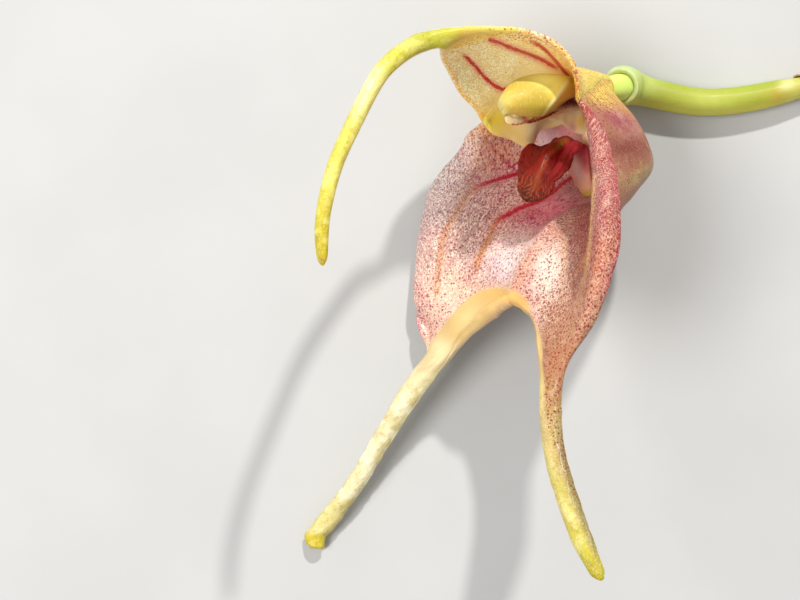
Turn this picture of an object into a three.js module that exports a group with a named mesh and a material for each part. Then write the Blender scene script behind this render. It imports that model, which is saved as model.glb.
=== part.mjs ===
// A masdevallia flower, picked with its stem and laid on its side. Millimetres, +Z up.
// The origin is the middle of the base of its bounding box, on the surface it lies on.
//
// The sepals, petals and lip are curved sheets of living tissue: each is given by a net of
// points that lie on its middle surface, a row across the blade at each step from its base
// to its tip, and a thickness. The stem, ovary and column are round tubes along a curve.
import * as THREE from 'three';

// ---- driving dimensions (mm)
const BLADE = 0.55;            // thickness of the lateral sepals' blade
const HOOD = 0.50;             // thickness of the dorsal sepal's blade
const TAIL_FAR = 1.75;         // depth of the tails where they leave the blade
const TAIL_NEAR = 1.5;
const TAIL_DORSAL = 1.5;
const EDGE = 0.35;             // least thickness at a tail's edge
const SEAM = 0.68;             // how far each sepal stops short of the seam in the tube
const PETAL = 1.0, PETAL_EDGE = 0.4;
const LIP = 0.9, LIP_EDGE = 0.5;
const SOCKET_R = 1.46;         // socket in the bract that the pedicel stands in
const SHEATH_WALL = 0.2;       // papery sheath round the stem
const SHEATH_GAP = 0.15;

// The blade and tail of the upper lateral sepal. Each row runs from the free edge to the middle line,
// and below the notch to the inner edge of the tail.
const NEAR = [
  [[-3.269, 19.279, 6.054], [-3.185, 18.992, 6.144], [-3.139, 18.714, 6.144], [-3.176, 18.351, 6.054], [-3.299, 17.997, 5.874], [-3.501, 17.700, 5.559], [-3.752, 17.589, 5.244]],
  [[-4.631, 18.914, 8.844], [-4.273, 18.631, 8.934], [-3.816, 18.265, 8.934], [-3.241, 17.740, 8.664], [-2.787, 17.271, 7.764], [-2.646, 16.843, 6.324], [-2.861, 16.610, 4.704]],
  [[-5.656, 17.770, 12.264], [-5.198, 17.418, 12.174], [-4.543, 17.082, 11.904], [-3.284, 16.711, 11.004], [-1.931, 16.130, 9.294], [-1.478, 15.239, 6.684], [-2.136, 14.983, 3.984]],
  [[-6.914, 16.662, 15.594], [-6.663, 16.292, 15.774], [-5.871, 15.846, 14.784], [-3.779, 15.610, 13.344], [-1.401, 14.885, 11.184], [-0.578, 13.590, 7.764], [-2.043, 13.390, 3.984]],
  [[-5.425, 14.798, 16.764], [-5.808, 14.681, 17.124], [-6.142, 14.650, 16.404], [-4.466, 14.321, 14.964], [-0.927, 13.753, 11.814], [-0.076, 12.364, 8.214], [-2.257, 12.155, 4.254]],
  [[-4.663, 12.598, 18.024], [-5.315, 12.480, 18.474], [-5.927, 12.373, 17.484], [-4.550, 12.307, 15.864], [-0.546, 12.358, 12.444], [0.129, 10.950, 8.844], [-2.648, 10.460, 4.434]],
  [[-4.302, 9.570, 20.634], [-5.128, 9.369, 21.174], [-5.893, 9.254, 20.094], [-4.733, 9.461, 17.844], [-0.855, 9.777, 13.614], [-1.095, 9.152, 10.014], [-4.157, 8.257, 5.604]],
  [[-4.107, 6.578, 22.164], [-5.098, 6.386, 22.704], [-6.090, 6.266, 21.354], [-5.078, 6.365, 18.744], [-3.845, 6.508, 14.964], [-4.906, 6.570, 10.914], [-7.493, 6.957, 7.944]],
  [[-4.262, 3.663, 22.434], [-5.294, 3.479, 22.974], [-6.277, 3.341, 21.534], [-5.806, 3.396, 19.104], [-5.948, 3.650, 15.684], [-7.829, 4.085, 12.444], [-10.196, 4.511, 10.014]],
  [[-4.732, 1.442, 22.434], [-5.712, 1.181, 22.884], [-6.491, 1.024, 21.534], [-6.524, 0.960, 19.374], [-7.244, 1.077, 16.404], [-9.418, 1.556, 13.344], [-11.807, 1.946, 11.184]],
  [[-5.492, -0.865, 22.344], [-6.285, -1.035, 22.614], [-6.921, -1.207, 21.534], [-7.248, -1.210, 19.734], [-8.186, -1.213, 17.214], [-10.025, -0.950, 14.424], [-12.568, -0.770, 11.904]],
  [[-6.495, -3.175, 22.074], [-7.109, -3.259, 22.254], [-7.729, -3.354, 21.444], [-8.235, -3.370, 20.184], [-8.978, -3.217, 18.474], [-9.812, -2.799, 16.584], [-10.737, -2.285, 14.424]],
  [[-7.843, -5.321, 21.804], [-8.107, -5.405, 21.894], [-8.466, -5.499, 21.534], [-8.978, -5.514, 20.904], [-9.507, -5.453, 19.824], [-10.036, -5.306, 18.654], [-10.529, -5.070, 17.484]],
  [[-8.934, -7.840, 23.244], [-9.236, -7.820, 23.004], [-9.538, -7.800, 22.764], [-9.842, -7.781, 22.524], [-10.146, -7.761, 22.284], [-10.451, -7.741, 22.044], [-10.757, -7.721, 21.804]],
  [[-9.097, -10.338, 24.324], [-9.381, -10.375, 24.144], [-9.664, -10.412, 23.964], [-9.949, -10.449, 23.784], [-10.234, -10.487, 23.604], [-10.519, -10.524, 23.424], [-10.805, -10.562, 23.244]],
  [[-8.860, -13.293, 25.674], [-9.136, -13.345, 25.524], [-9.412, -13.397, 25.374], [-9.689, -13.449, 25.224], [-9.966, -13.501, 25.074], [-10.244, -13.553, 24.924], [-10.522, -13.606, 24.774]],
  [[-8.238, -16.424, 27.384], [-8.518, -16.493, 27.234], [-8.798, -16.561, 27.084], [-9.079, -16.629, 26.934], [-9.360, -16.697, 26.784], [-9.641, -16.766, 26.634], [-9.923, -16.834, 26.484]],
  [[-7.425, -19.166, 29.094], [-7.688, -19.248, 28.959], [-7.952, -19.331, 28.824], [-8.217, -19.413, 28.689], [-8.482, -19.496, 28.554], [-8.747, -19.578, 28.419], [-9.013, -19.661, 28.284]],
  [[-6.727, -21.231, 30.534], [-6.964, -21.311, 30.429], [-7.200, -21.391, 30.324], [-7.437, -21.471, 30.219], [-7.674, -21.551, 30.114], [-7.911, -21.631, 30.009], [-8.149, -21.712, 29.904]],
  [[-6.343, -22.454, 31.254], [-6.526, -22.538, 31.179], [-6.710, -22.621, 31.104], [-6.893, -22.705, 31.029], [-7.077, -22.789, 30.954], [-7.261, -22.873, 30.879], [-7.445, -22.957, 30.804]],
  [[-6.213, -23.143, 31.614], [-6.324, -23.203, 31.569], [-6.435, -23.262, 31.524], [-6.546, -23.322, 31.479], [-6.658, -23.382, 31.434], [-6.769, -23.442, 31.389], [-6.880, -23.502, 31.344]],
];
// The same for the lower one, which lies on the surface.
const FAR = [
  [[-4.332, 19.438, 4.434], [-4.391, 19.151, 4.332], [-4.377, 18.864, 4.300], [-4.303, 18.472, 4.396], [-4.171, 18.072, 4.614], [-3.935, 17.731, 4.941], [-3.752, 17.589, 5.244]],
  [[-7.378, 18.715, 5.154], [-7.356, 18.449, 4.783], [-7.219, 18.109, 4.339], [-6.792, 17.639, 3.852], [-5.801, 17.236, 3.664], [-4.388, 16.842, 3.946], [-2.861, 16.610, 4.704]],
  [[-11.003, 17.240, 4.974], [-10.781, 16.903, 4.559], [-10.328, 16.607, 4.009], [-9.083, 16.360, 3.076], [-7.020, 15.952, 2.320], [-4.367, 15.175, 2.717], [-2.136, 14.983, 3.984]],
  [[-14.655, 15.625, 5.334], [-14.757, 15.283, 5.031], [-13.568, 14.883, 4.541], [-11.551, 14.876, 2.917], [-8.719, 14.475, 1.264], [-5.133, 13.417, 1.544], [-2.043, 13.390, 3.984]],
  [[-15.820, 14.609, 3.984], [-16.263, 14.500, 4.237], [-15.621, 14.476, 4.744], [-13.646, 14.185, 3.418], [-9.375, 13.666, 0.793], [-5.480, 12.291, 0.994], [-2.257, 12.155, 4.254]],
  [[-16.232, 13.464, 2.904], [-16.858, 13.315, 3.397], [-16.069, 13.135, 4.263], [-14.123, 12.891, 3.267], [-9.656, 12.648, 0.690], [-5.941, 10.994, 0.690], [-2.648, 10.460, 4.434]],
  [[-18.327, 10.798, 1.734], [-19.100, 10.555, 2.381], [-18.281, 10.317, 3.440], [-15.851, 10.349, 2.841], [-10.747, 10.392, 0.690], [-7.398, 9.455, 1.398], [-4.157, 8.257, 5.604]],
  [[-19.494, 7.611, 0.879], [-20.322, 7.373, 1.705], [-19.311, 7.150, 3.097], [-16.625, 7.072, 2.785], [-12.807, 6.947, 2.592], [-9.387, 6.750, 4.745], [-7.493, 6.957, 7.944]],
  [[-20.059, 4.477, 0.699], [-20.889, 4.247, 1.576], [-19.765, 4.040, 3.005], [-17.354, 3.933, 3.227], [-14.213, 3.957, 4.338], [-11.755, 4.207, 7.074], [-10.196, 4.511, 10.014]],
  [[-20.454, 1.715, 0.789], [-21.171, 1.413, 1.654], [-20.061, 1.239, 2.873], [-17.998, 1.099, 3.592], [-15.379, 1.126, 5.245], [-13.109, 1.573, 8.301], [-11.807, 1.946, 11.184]],
  [[-20.684, -0.950, 1.284], [-21.167, -1.141, 2.023], [-20.277, -1.305, 3.031], [-18.625, -1.323, 3.995], [-16.470, -1.345, 5.816], [-14.328, -1.035, 8.543], [-12.568, -0.770, 11.904]],
  [[-20.959, -3.314, 2.094], [-20.345, -3.205, 2.005], [-19.609, -3.061, 2.886], [-18.551, -2.852, 4.249], [-17.317, -2.607, 6.013], [-15.917, -2.327, 8.100], [-14.478, -2.042, 10.104]],
  [[-20.119, -5.564, 2.994], [-19.790, -5.436, 3.063], [-19.394, -5.270, 3.588], [-18.823, -5.029, 4.387], [-18.153, -4.743, 5.401], [-17.385, -4.416, 6.595], [-16.590, -4.079, 7.764]],
  [[-21.816, -8.374, 3.444], [-21.287, -8.123, 3.894], [-20.760, -7.874, 4.344], [-20.235, -7.625, 4.794], [-19.713, -7.378, 5.244], [-19.193, -7.132, 5.694], [-18.675, -6.886, 6.144]],
  [[-23.839, -11.399, 3.084], [-23.469, -11.354, 3.354], [-23.100, -11.309, 3.624], [-22.733, -11.264, 3.894], [-22.366, -11.220, 4.164], [-22.000, -11.175, 4.434], [-21.635, -11.131, 4.704]],
  [[-25.966, -15.112, 2.454], [-25.665, -15.116, 2.634], [-25.364, -15.119, 2.814], [-25.063, -15.123, 2.994], [-24.763, -15.126, 3.174], [-24.464, -15.130, 3.354], [-24.165, -15.133, 3.534]],
  [[-28.301, -18.768, 1.644], [-27.973, -18.772, 1.794], [-27.646, -18.775, 1.944], [-27.319, -18.778, 2.094], [-26.993, -18.781, 2.244], [-26.667, -18.784, 2.394], [-26.342, -18.787, 2.544]],
  [[-30.168, -21.190, 1.104], [-29.799, -21.162, 1.224], [-29.432, -21.135, 1.344], [-29.064, -21.108, 1.464], [-28.697, -21.080, 1.584], [-28.331, -21.053, 1.704], [-27.964, -21.026, 1.824]],
  [[-31.614, -23.047, 0.609], [-31.245, -23.037, 0.707], [-30.876, -23.026, 0.804], [-30.508, -23.016, 0.902], [-30.140, -23.006, 0.999], [-29.772, -22.996, 1.097], [-29.405, -22.986, 1.194]],
  [[-31.808, -23.914, 0.519], [-31.535, -23.930, 0.586], [-31.263, -23.947, 0.654], [-30.990, -23.963, 0.721], [-30.718, -23.980, 0.789], [-30.446, -23.996, 0.857], [-30.174, -24.012, 0.924]],
  [[-31.427, -24.343, 0.519], [-31.283, -24.354, 0.556], [-31.138, -24.366, 0.594], [-30.994, -24.378, 0.631], [-30.850, -24.389, 0.669], [-30.705, -24.401, 0.707], [-30.561, -24.413, 0.744]],
];
const NOTCH = 10;   // row where the two lateral sepals part
// The dorsal sepal, from its upper edge over the middle vein to its lower edge.
const DORSAL = [
  [[-3.269, 19.279, 6.054], [-3.345, 19.529, 5.874], [-3.506, 19.742, 5.604], [-3.752, 19.824, 5.244], [-3.998, 19.814, 4.884], [-4.208, 19.654, 4.614], [-4.332, 19.438, 4.434]],
  [[-4.631, 18.914, 8.844], [-4.567, 19.490, 8.124], [-4.679, 19.893, 7.314], [-5.063, 20.078, 6.414], [-5.652, 19.965, 5.694], [-6.546, 19.545, 5.244], [-7.378, 18.715, 5.154]],
  [[-5.656, 17.770, 12.264], [-5.745, 18.957, 11.184], [-5.987, 19.737, 9.744], [-6.482, 20.243, 7.944], [-7.769, 19.865, 6.684], [-9.457, 18.765, 5.604], [-11.003, 17.240, 4.974]],
  [[-6.914, 16.662, 15.594], [-6.827, 18.271, 14.514], [-7.172, 19.679, 12.084], [-8.018, 20.424, 8.844], [-9.816, 19.754, 6.864], [-12.247, 17.928, 5.604], [-14.655, 15.625, 5.334]],
  [[-7.156, 18.705, 16.404], [-7.471, 19.845, 14.784], [-8.163, 20.579, 12.084], [-9.718, 21.069, 9.654], [-11.728, 20.555, 8.034], [-13.694, 18.839, 6.774], [-15.521, 16.581, 6.144]],
  [[-8.057, 20.702, 16.674], [-8.817, 21.246, 14.964], [-9.932, 21.559, 12.984], [-11.717, 21.672, 11.184], [-13.626, 21.235, 9.384], [-15.400, 19.645, 7.944], [-16.851, 17.873, 7.224]],
  [[-9.923, 22.078, 16.944], [-10.814, 22.227, 15.684], [-12.053, 22.150, 14.064], [-13.499, 22.194, 12.534], [-15.152, 21.772, 11.094], [-16.647, 20.567, 9.654], [-17.813, 19.189, 8.844]],
  [[-12.584, 22.814, 17.394], [-13.246, 22.781, 16.584], [-14.163, 22.702, 15.414], [-15.264, 22.507, 14.064], [-16.568, 22.097, 12.984], [-17.702, 21.250, 11.724], [-18.590, 20.333, 11.004]],
  [[-15.582, 22.847, 17.844], [-16.088, 22.782, 17.304], [-16.683, 22.638, 16.674], [-17.279, 22.372, 15.954], [-17.966, 22.113, 15.144], [-18.568, 21.684, 14.244], [-19.089, 21.140, 13.524]],
  [[-18.032, 22.847, 17.844], [-18.204, 22.595, 17.754], [-18.419, 22.311, 17.574], [-18.634, 22.025, 17.394], [-18.848, 21.750, 17.124], [-19.061, 21.484, 16.764], [-19.231, 21.261, 16.404]],
  [[-20.601, 22.486, 18.024], [-20.503, 22.242, 17.964], [-20.405, 21.998, 17.904], [-20.306, 21.753, 17.844], [-20.208, 21.509, 17.784], [-20.109, 21.264, 17.724], [-20.011, 21.019, 17.664]],
  [[-22.177, 21.723, 19.194], [-22.051, 21.494, 19.134], [-21.925, 21.264, 19.074], [-21.799, 21.034, 19.014], [-21.673, 20.804, 18.954], [-21.547, 20.574, 18.894], [-21.421, 20.344, 18.834]],
  [[-23.592, 20.594, 20.364], [-23.429, 20.400, 20.304], [-23.265, 20.205, 20.244], [-23.102, 20.011, 20.184], [-22.938, 19.816, 20.124], [-22.774, 19.621, 20.064], [-22.610, 19.427, 20.004]],
  [[-24.794, 19.301, 21.264], [-24.602, 19.146, 21.204], [-24.410, 18.992, 21.144], [-24.219, 18.837, 21.084], [-24.026, 18.682, 21.024], [-23.834, 18.527, 20.964], [-23.642, 18.372, 20.904]],
  [[-25.695, 17.830, 21.984], [-25.486, 17.712, 21.924], [-25.278, 17.595, 21.864], [-25.070, 17.477, 21.804], [-24.862, 17.359, 21.744], [-24.653, 17.241, 21.684], [-24.444, 17.123, 21.624]],
  [[-26.501, 16.175, 22.704], [-26.292, 16.073, 22.644], [-26.082, 15.972, 22.584], [-25.872, 15.870, 22.524], [-25.663, 15.769, 22.464], [-25.453, 15.667, 22.404], [-25.243, 15.566, 22.344]],
  [[-27.245, 14.524, 23.334], [-27.040, 14.429, 23.274], [-26.834, 14.335, 23.214], [-26.628, 14.240, 23.154], [-26.422, 14.146, 23.094], [-26.216, 14.051, 23.034], [-26.010, 13.956, 22.974]],
  [[-27.983, 12.842, 23.964], [-27.782, 12.754, 23.904], [-27.580, 12.666, 23.844], [-27.378, 12.578, 23.784], [-27.177, 12.490, 23.724], [-26.974, 12.402, 23.664], [-26.772, 12.314, 23.604]],
  [[-28.687, 11.110, 24.504], [-28.486, 11.037, 24.444], [-28.285, 10.963, 24.384], [-28.084, 10.890, 24.324], [-27.883, 10.817, 24.264], [-27.681, 10.744, 24.204], [-27.480, 10.670, 24.144]],
  [[-29.223, 9.336, 24.954], [-29.022, 9.282, 24.894], [-28.821, 9.228, 24.834], [-28.620, 9.174, 24.774], [-28.419, 9.120, 24.714], [-28.217, 9.066, 24.654], [-28.016, 9.012, 24.594]],
  [[-29.583, 7.672, 25.314], [-29.384, 7.633, 25.254], [-29.186, 7.594, 25.194], [-28.987, 7.555, 25.134], [-28.789, 7.516, 25.074], [-28.590, 7.477, 25.014], [-28.391, 7.438, 24.954]],
  [[-29.811, 6.183, 25.494], [-29.619, 6.161, 25.434], [-29.426, 6.139, 25.374], [-29.234, 6.117, 25.314], [-29.041, 6.095, 25.254], [-28.848, 6.073, 25.194], [-28.655, 6.051, 25.134]],
  [[-29.894, 4.656, 25.629], [-29.709, 4.650, 25.569], [-29.524, 4.645, 25.509], [-29.338, 4.640, 25.449], [-29.153, 4.635, 25.389], [-28.967, 4.630, 25.329], [-28.781, 4.625, 25.269]],
  [[-29.826, 3.344, 25.674], [-29.660, 3.342, 25.614], [-29.494, 3.339, 25.554], [-29.328, 3.336, 25.494], [-29.162, 3.334, 25.434], [-28.996, 3.331, 25.374], [-28.830, 3.328, 25.314]],
  [[-29.637, 2.550, 25.674], [-29.520, 2.546, 25.614], [-29.403, 2.542, 25.554], [-29.286, 2.538, 25.494], [-29.170, 2.534, 25.434], [-29.053, 2.530, 25.374], [-28.936, 2.525, 25.314]],
  [[-29.440, 2.203, 25.674], [-29.386, 2.203, 25.614], [-29.332, 2.202, 25.554], [-29.278, 2.202, 25.494], [-29.224, 2.201, 25.434], [-29.170, 2.201, 25.374], [-29.116, 2.201, 25.314]],
];
// Petals and lip, from base to tip.
const PETAL_RIGHT = [
  [[-5.578, 18.846, 8.124], [-5.516, 18.674, 8.484], [-5.478, 18.482, 8.574], [-5.470, 18.307, 8.484], [-5.486, 18.112, 8.124]],
  [[-6.793, 19.163, 9.564], [-6.654, 18.700, 10.104], [-6.623, 18.319, 10.284], [-6.570, 17.964, 10.194], [-6.565, 17.658, 9.564]],
  [[-7.980, 19.310, 10.824], [-7.789, 18.705, 11.904], [-7.816, 18.130, 12.264], [-7.899, 17.688, 12.174], [-7.360, 17.390, 11.004]],
  [[-9.683, 19.336, 11.904], [-9.406, 18.403, 13.164], [-9.168, 17.554, 13.614], [-9.067, 16.945, 13.434], [-8.613, 16.571, 12.084]],
  [[-11.436, 19.084, 12.624], [-11.067, 17.967, 13.974], [-10.743, 17.025, 14.514], [-10.281, 16.248, 14.244], [-9.741, 15.879, 12.804]],
  [[-12.815, 18.394, 13.254], [-12.344, 17.381, 14.514], [-11.835, 16.541, 14.964], [-11.287, 15.942, 14.694], [-10.761, 15.521, 13.344]],
  [[-13.642, 17.546, 13.704], [-13.239, 16.839, 14.604], [-12.812, 16.274, 14.964], [-12.354, 15.853, 14.694], [-11.949, 15.483, 13.794]],
  [[-13.870, 16.555, 13.794], [-13.711, 16.248, 14.244], [-13.497, 15.965, 14.424], [-13.221, 15.758, 14.244], [-12.936, 15.610, 13.884]],
  [[-13.642, 15.893, 13.704], [-13.557, 15.751, 13.794], [-13.468, 15.662, 13.794], [-13.378, 15.617, 13.794], [-13.285, 15.580, 13.704]],
];
const PETAL_LEFT = [
  [[-6.622, 18.355, 5.019], [-6.729, 18.059, 5.199], [-6.779, 17.775, 5.244], [-6.772, 17.457, 5.154], [-6.751, 17.108, 4.884]],
  [[-7.764, 18.093, 5.334], [-7.889, 17.726, 5.784], [-7.989, 17.254, 5.874], [-8.069, 16.433, 5.694], [-8.024, 15.600, 5.064]],
  [[-9.097, 18.377, 5.784], [-9.238, 17.568, 6.504], [-9.342, 16.720, 6.684], [-9.417, 15.724, 6.414], [-9.446, 14.780, 5.424]],
  [[-10.360, 18.200, 6.684], [-10.541, 17.026, 7.404], [-10.644, 15.813, 7.584], [-10.761, 14.551, 7.224], [-10.677, 13.359, 5.784]],
  [[-12.081, 17.639, 7.764], [-12.297, 16.573, 8.394], [-12.490, 15.457, 8.574], [-12.568, 14.378, 8.304], [-12.514, 13.536, 7.224]],
  [[-13.506, 16.908, 8.754], [-13.710, 16.046, 9.204], [-13.900, 15.209, 9.384], [-13.984, 14.493, 9.204], [-13.957, 13.945, 8.574]],
  [[-14.459, 16.191, 9.654], [-14.558, 15.720, 9.834], [-14.607, 15.257, 9.924], [-14.603, 14.855, 9.834], [-14.547, 14.557, 9.564]],
  [[-14.936, 15.600, 10.194], [-14.936, 15.463, 10.194], [-14.936, 15.327, 10.194], [-14.936, 15.190, 10.194], [-14.936, 15.054, 10.194]],
];
const LIP_NET = [
  [[-5.706, 8.943, 5.833], [-5.582, 8.935, 6.001], [-5.437, 8.926, 6.198], [-5.293, 8.916, 6.394], [-5.167, 8.908, 6.566], [-5.041, 8.900, 6.738], [-4.934, 8.893, 6.886]],
  [[-6.410, 10.013, 5.804], [-6.207, 9.999, 6.077], [-5.972, 9.982, 6.397], [-5.737, 9.965, 6.716], [-5.557, 9.952, 6.962], [-5.377, 9.938, 7.208], [-5.223, 9.927, 7.418]],
  [[-6.963, 11.316, 5.773], [-6.697, 11.294, 6.131], [-6.388, 11.269, 6.549], [-6.081, 11.245, 6.967], [-5.846, 11.226, 7.286], [-5.613, 11.207, 7.606], [-5.414, 11.190, 7.879]],
  [[-7.412, 12.702, 5.883], [-7.114, 12.676, 6.283], [-6.768, 12.645, 6.750], [-6.424, 12.614, 7.217], [-6.118, 12.559, 7.635], [-5.813, 12.504, 8.052], [-5.552, 12.457, 8.410]],
  [[-7.856, 13.894, 6.099], [-7.542, 13.864, 6.520], [-7.178, 13.828, 7.012], [-6.815, 13.793, 7.503], [-6.473, 13.667, 7.970], [-6.132, 13.543, 8.437], [-5.841, 13.436, 8.837]],
  [[-8.345, 14.350, 6.457], [-8.031, 14.318, 6.878], [-7.666, 14.282, 7.370], [-7.303, 14.245, 7.861], [-6.942, 14.016, 8.352], [-6.583, 13.788, 8.844], [-6.277, 13.593, 9.265]],
  [[-9.080, 13.879, 6.887], [-8.749, 13.876, 7.330], [-8.365, 13.872, 7.846], [-7.983, 13.869, 8.362], [-7.568, 13.570, 8.927], [-7.154, 13.272, 9.492], [-6.802, 13.018, 9.976]],
  [[-9.917, 13.262, 7.178], [-9.537, 13.227, 7.683], [-9.097, 13.187, 8.273], [-8.660, 13.146, 8.862], [-8.118, 12.759, 9.600], [-7.579, 12.376, 10.337], [-7.121, 12.049, 10.968]],
  [[-10.921, 13.124, 7.045], [-10.412, 12.901, 7.719], [-9.822, 12.642, 8.505], [-9.238, 12.385, 9.292], [-8.551, 11.925, 10.225], [-7.870, 11.468, 11.159], [-7.292, 11.080, 11.959]],
  [[-11.562, 12.431, 7.192], [-11.004, 12.190, 7.929], [-10.358, 11.910, 8.789], [-9.718, 11.632, 9.649], [-8.957, 11.155, 10.681], [-8.206, 10.682, 11.713], [-7.568, 10.279, 12.598]],
  [[-11.829, 11.488, 7.831], [-11.335, 11.277, 8.484], [-10.763, 11.033, 9.245], [-10.196, 10.791, 10.007], [-9.507, 10.363, 10.941], [-8.825, 9.939, 11.874], [-8.245, 9.578, 12.675]],
  [[-11.839, 10.352, 8.608], [-11.458, 10.205, 9.114], [-11.016, 10.035, 9.704], [-10.577, 9.866, 10.293], [-9.996, 9.519, 11.079], [-9.420, 9.175, 11.866], [-8.929, 8.882, 12.540]],
  [[-11.866, 9.383, 9.068], [-11.549, 9.279, 9.489], [-11.181, 9.159, 9.981], [-10.815, 9.039, 10.472], [-10.360, 8.786, 11.086], [-9.908, 8.536, 11.701], [-9.524, 8.322, 12.227]],
  [[-11.692, 8.571, 9.597], [-11.471, 8.519, 9.891], [-11.214, 8.459, 10.235], [-10.957, 8.398, 10.579], [-10.684, 8.262, 10.948], [-10.412, 8.127, 11.316], [-10.179, 8.011, 11.632]],
  [[-11.247, 8.050, 10.250], [-11.169, 8.045, 10.355], [-11.077, 8.040, 10.478], [-10.986, 8.034, 10.601], [-10.895, 8.013, 10.724], [-10.804, 7.991, 10.847], [-10.726, 7.973, 10.952]],
];
// Middle lines of the round pieces: x, y, z, radius.
const COLUMN = [
  [-11.898, 15.745, 11.184, 0.995],
  [-11.143, 16.016, 10.644, 1.089],
  [-9.524, 16.662, 9.474, 1.141],
  [-7.881, 17.323, 8.214, 1.148],
  [-6.417, 17.650, 7.134, 1.154],
  [-5.434, 17.391, 6.414, 1.065],
  [-5.079, 16.495, 6.054, 0.882],
  [-5.117, 15.203, 5.964, 0.743],
  [-5.164, 13.718, 5.964, 0.650],
  [-5.025, 12.047, 5.964, 0.603],
  [-4.827, 10.569, 5.829, 0.557],
  [-4.629, 9.647, 5.694, 0.465],
];
const CAP = [
  [-12.229, 15.623, 11.454, 0.949],
  [-12.651, 15.471, 11.769, 0.947],
  [-13.025, 15.304, 12.039, 0.766],
  [-13.212, 15.221, 12.174, 0.450],
];
const OVARY = [
  [-1.943, 19.110, 3.174, 1.280],
  [-2.134, 19.034, 3.579, 1.277],
  [-2.618, 18.879, 4.119, 1.255],
  [-3.074, 18.750, 4.488, 1.215],
  [-3.328, 18.692, 4.704, 1.177],
];
const BRACT = [
  [0.392, 18.896, 1.446, 1.442],
  [-0.289, 19.072, 1.599, 1.574],
  [-1.093, 19.218, 2.049, 1.797],
  [-1.625, 19.237, 2.634, 1.915],
  [-1.943, 19.148, 3.264, 1.881],
  [-2.077, 19.081, 3.669, 1.746],
];
// From the cut end to the bract.
const PEDUNCLE = [
  [31.585, 23.750, 1.149, 1.112],
  [29.495, 23.038, 1.149, 1.112],
  [27.580, 22.413, 1.212, 1.178],
  [26.159, 21.988, 1.194, 1.083],
  [24.252, 21.462, 1.230, 0.874],
  [20.928, 20.607, 1.230, 0.855],
  [17.604, 19.800, 1.230, 0.855],
  [15.705, 19.335, 1.230, 0.883],
  [14.374, 19.011, 1.239, 0.921],
  [13.326, 18.781, 1.257, 1.120],
  [11.805, 18.448, 1.266, 1.225],
  [9.047, 17.989, 1.302, 1.272],
  [6.291, 17.817, 1.320, 1.291],
  [2.295, 18.417, 1.401, 1.376],
  [0.771, 18.792, 1.446, 1.423],
];
const SHEATH_FROM = 0.255, SHEATH_TO = 0.535, MOUTH_SIDE = 1.2;   // along the peduncle

// ---- splines
// Natural cubic spline through the values y (arrays of numbers) at the knots t.
function spline(t, y) {
  const n = t.length, m = y[0].length, h = [], c = new Array(n).fill(0), d = y.map(() => new Array(m).fill(0));
  for (let i = 0; i < n - 1; i++) h.push(t[i + 1] - t[i]);
  for (let i = 1; i < n - 1; i++) {
    const w = 2 * (h[i - 1] + h[i]) - h[i - 1] * c[i - 1];
    c[i] = h[i] / w;
    for (let k = 0; k < m; k++) {
      const r = 6 * ((y[i + 1][k] - y[i][k]) / h[i] - (y[i][k] - y[i - 1][k]) / h[i - 1]);
      d[i][k] = (r - h[i - 1] * d[i - 1][k]) / w;
    }
  }
  const M = y.map(() => new Array(m).fill(0));
  for (let i = n - 2; i > 0; i--) for (let k = 0; k < m; k++) M[i][k] = d[i][k] - c[i] * M[i + 1][k];
  return (q) => {
    let i = 0;
    while (i < n - 2 && q >= t[i + 1]) i++;
    const a = t[i + 1] - q, b = q - t[i], g = h[i], out = new Array(m);
    for (let k = 0; k < m; k++) {
      out[k] = (M[i][k] * a ** 3 + M[i + 1][k] * b ** 3) / (6 * g) + (y[i][k] / g - M[i][k] * g / 6) * a + (y[i + 1][k] / g - M[i + 1][k] * g / 6) * b;
    }
    return out;
  };
}
const dist = (a, b) => Math.hypot(a[0] - b[0], a[1] - b[1], a[2] - b[2]);
// Knots down a net: the mean distance from row to row.
function rowKnots(rows) {
  const t = [0];
  for (let i = 1; i < rows.length; i++) {
    let s = 0;
    for (let j = 0; j < rows[i].length; j++) s += dist(rows[i][j], rows[i - 1][j]);
    t.push(t[i - 1] + s / rows[i].length);
  }
  return t;
}
const turn = (rows) => rows[0].map((_, j) => rows.map((r) => r[j]));
const clamp01 = (x) => Math.min(1, Math.max(0, x));
const smooth = (x) => { const q = clamp01(x); return q * q * (3 - 2 * q); };
function table(xs, ys, x) {
  if (x <= xs[0]) return ys[0];
  for (let i = 1; i < xs.length; i++) if (x <= xs[i]) return ys[i - 1] + (ys[i] - ys[i - 1]) * (x - xs[i - 1]) / (xs[i] - xs[i - 1]);
  return ys[ys.length - 1];
}
const steps = (a, b, n) => Array.from({ length: n + 1 }, (_, i) => a + (b - a) * i / n);

// A net's surface at the parameters vs down and nu even steps of arc length across.
// corner = [column, row] marks a column that turns a corner at that row.
// trim0 and trim1 (mm, per row) leave a strip out at the two edges.
function sheet(net, vk, uk, vs, nu, corner, trim0, trim1) {
  const cols = turn(net), at = cols.map((c, j) => {
    if (!corner || corner[0] !== j) return spline(vk, c);
    const r = corner[1], a = spline(vk.slice(0, r + 1), c.slice(0, r + 1)), b = spline(vk.slice(r), c.slice(r));
    return (q) => (q <= vk[r] + 1e-9 ? a(q) : b(q));
  });
  return vs.map((v, row) => {
    const f = spline(uk, at.map((g) => g(v))), dense = steps(0, uk[uk.length - 1], 79).map(f), len = [0];
    for (let i = 1; i < dense.length; i++) len.push(len[i - 1] + dist(dense[i], dense[i - 1]));
    const a = trim0 ? trim0[row] : 0, b = len[len.length - 1] - (trim1 ? trim1[row] : 0);
    return steps(a, b, nu).map((q) => {
      let i = 1;
      while (i < len.length - 1 && len[i] < q) i++;
      const w = clamp01((q - len[i - 1]) / (len[i] - len[i - 1]));
      return [0, 1, 2].map((k) => dense[i - 1][k] * (1 - w) + dense[i][k] * w);
    });
  });
}

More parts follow.
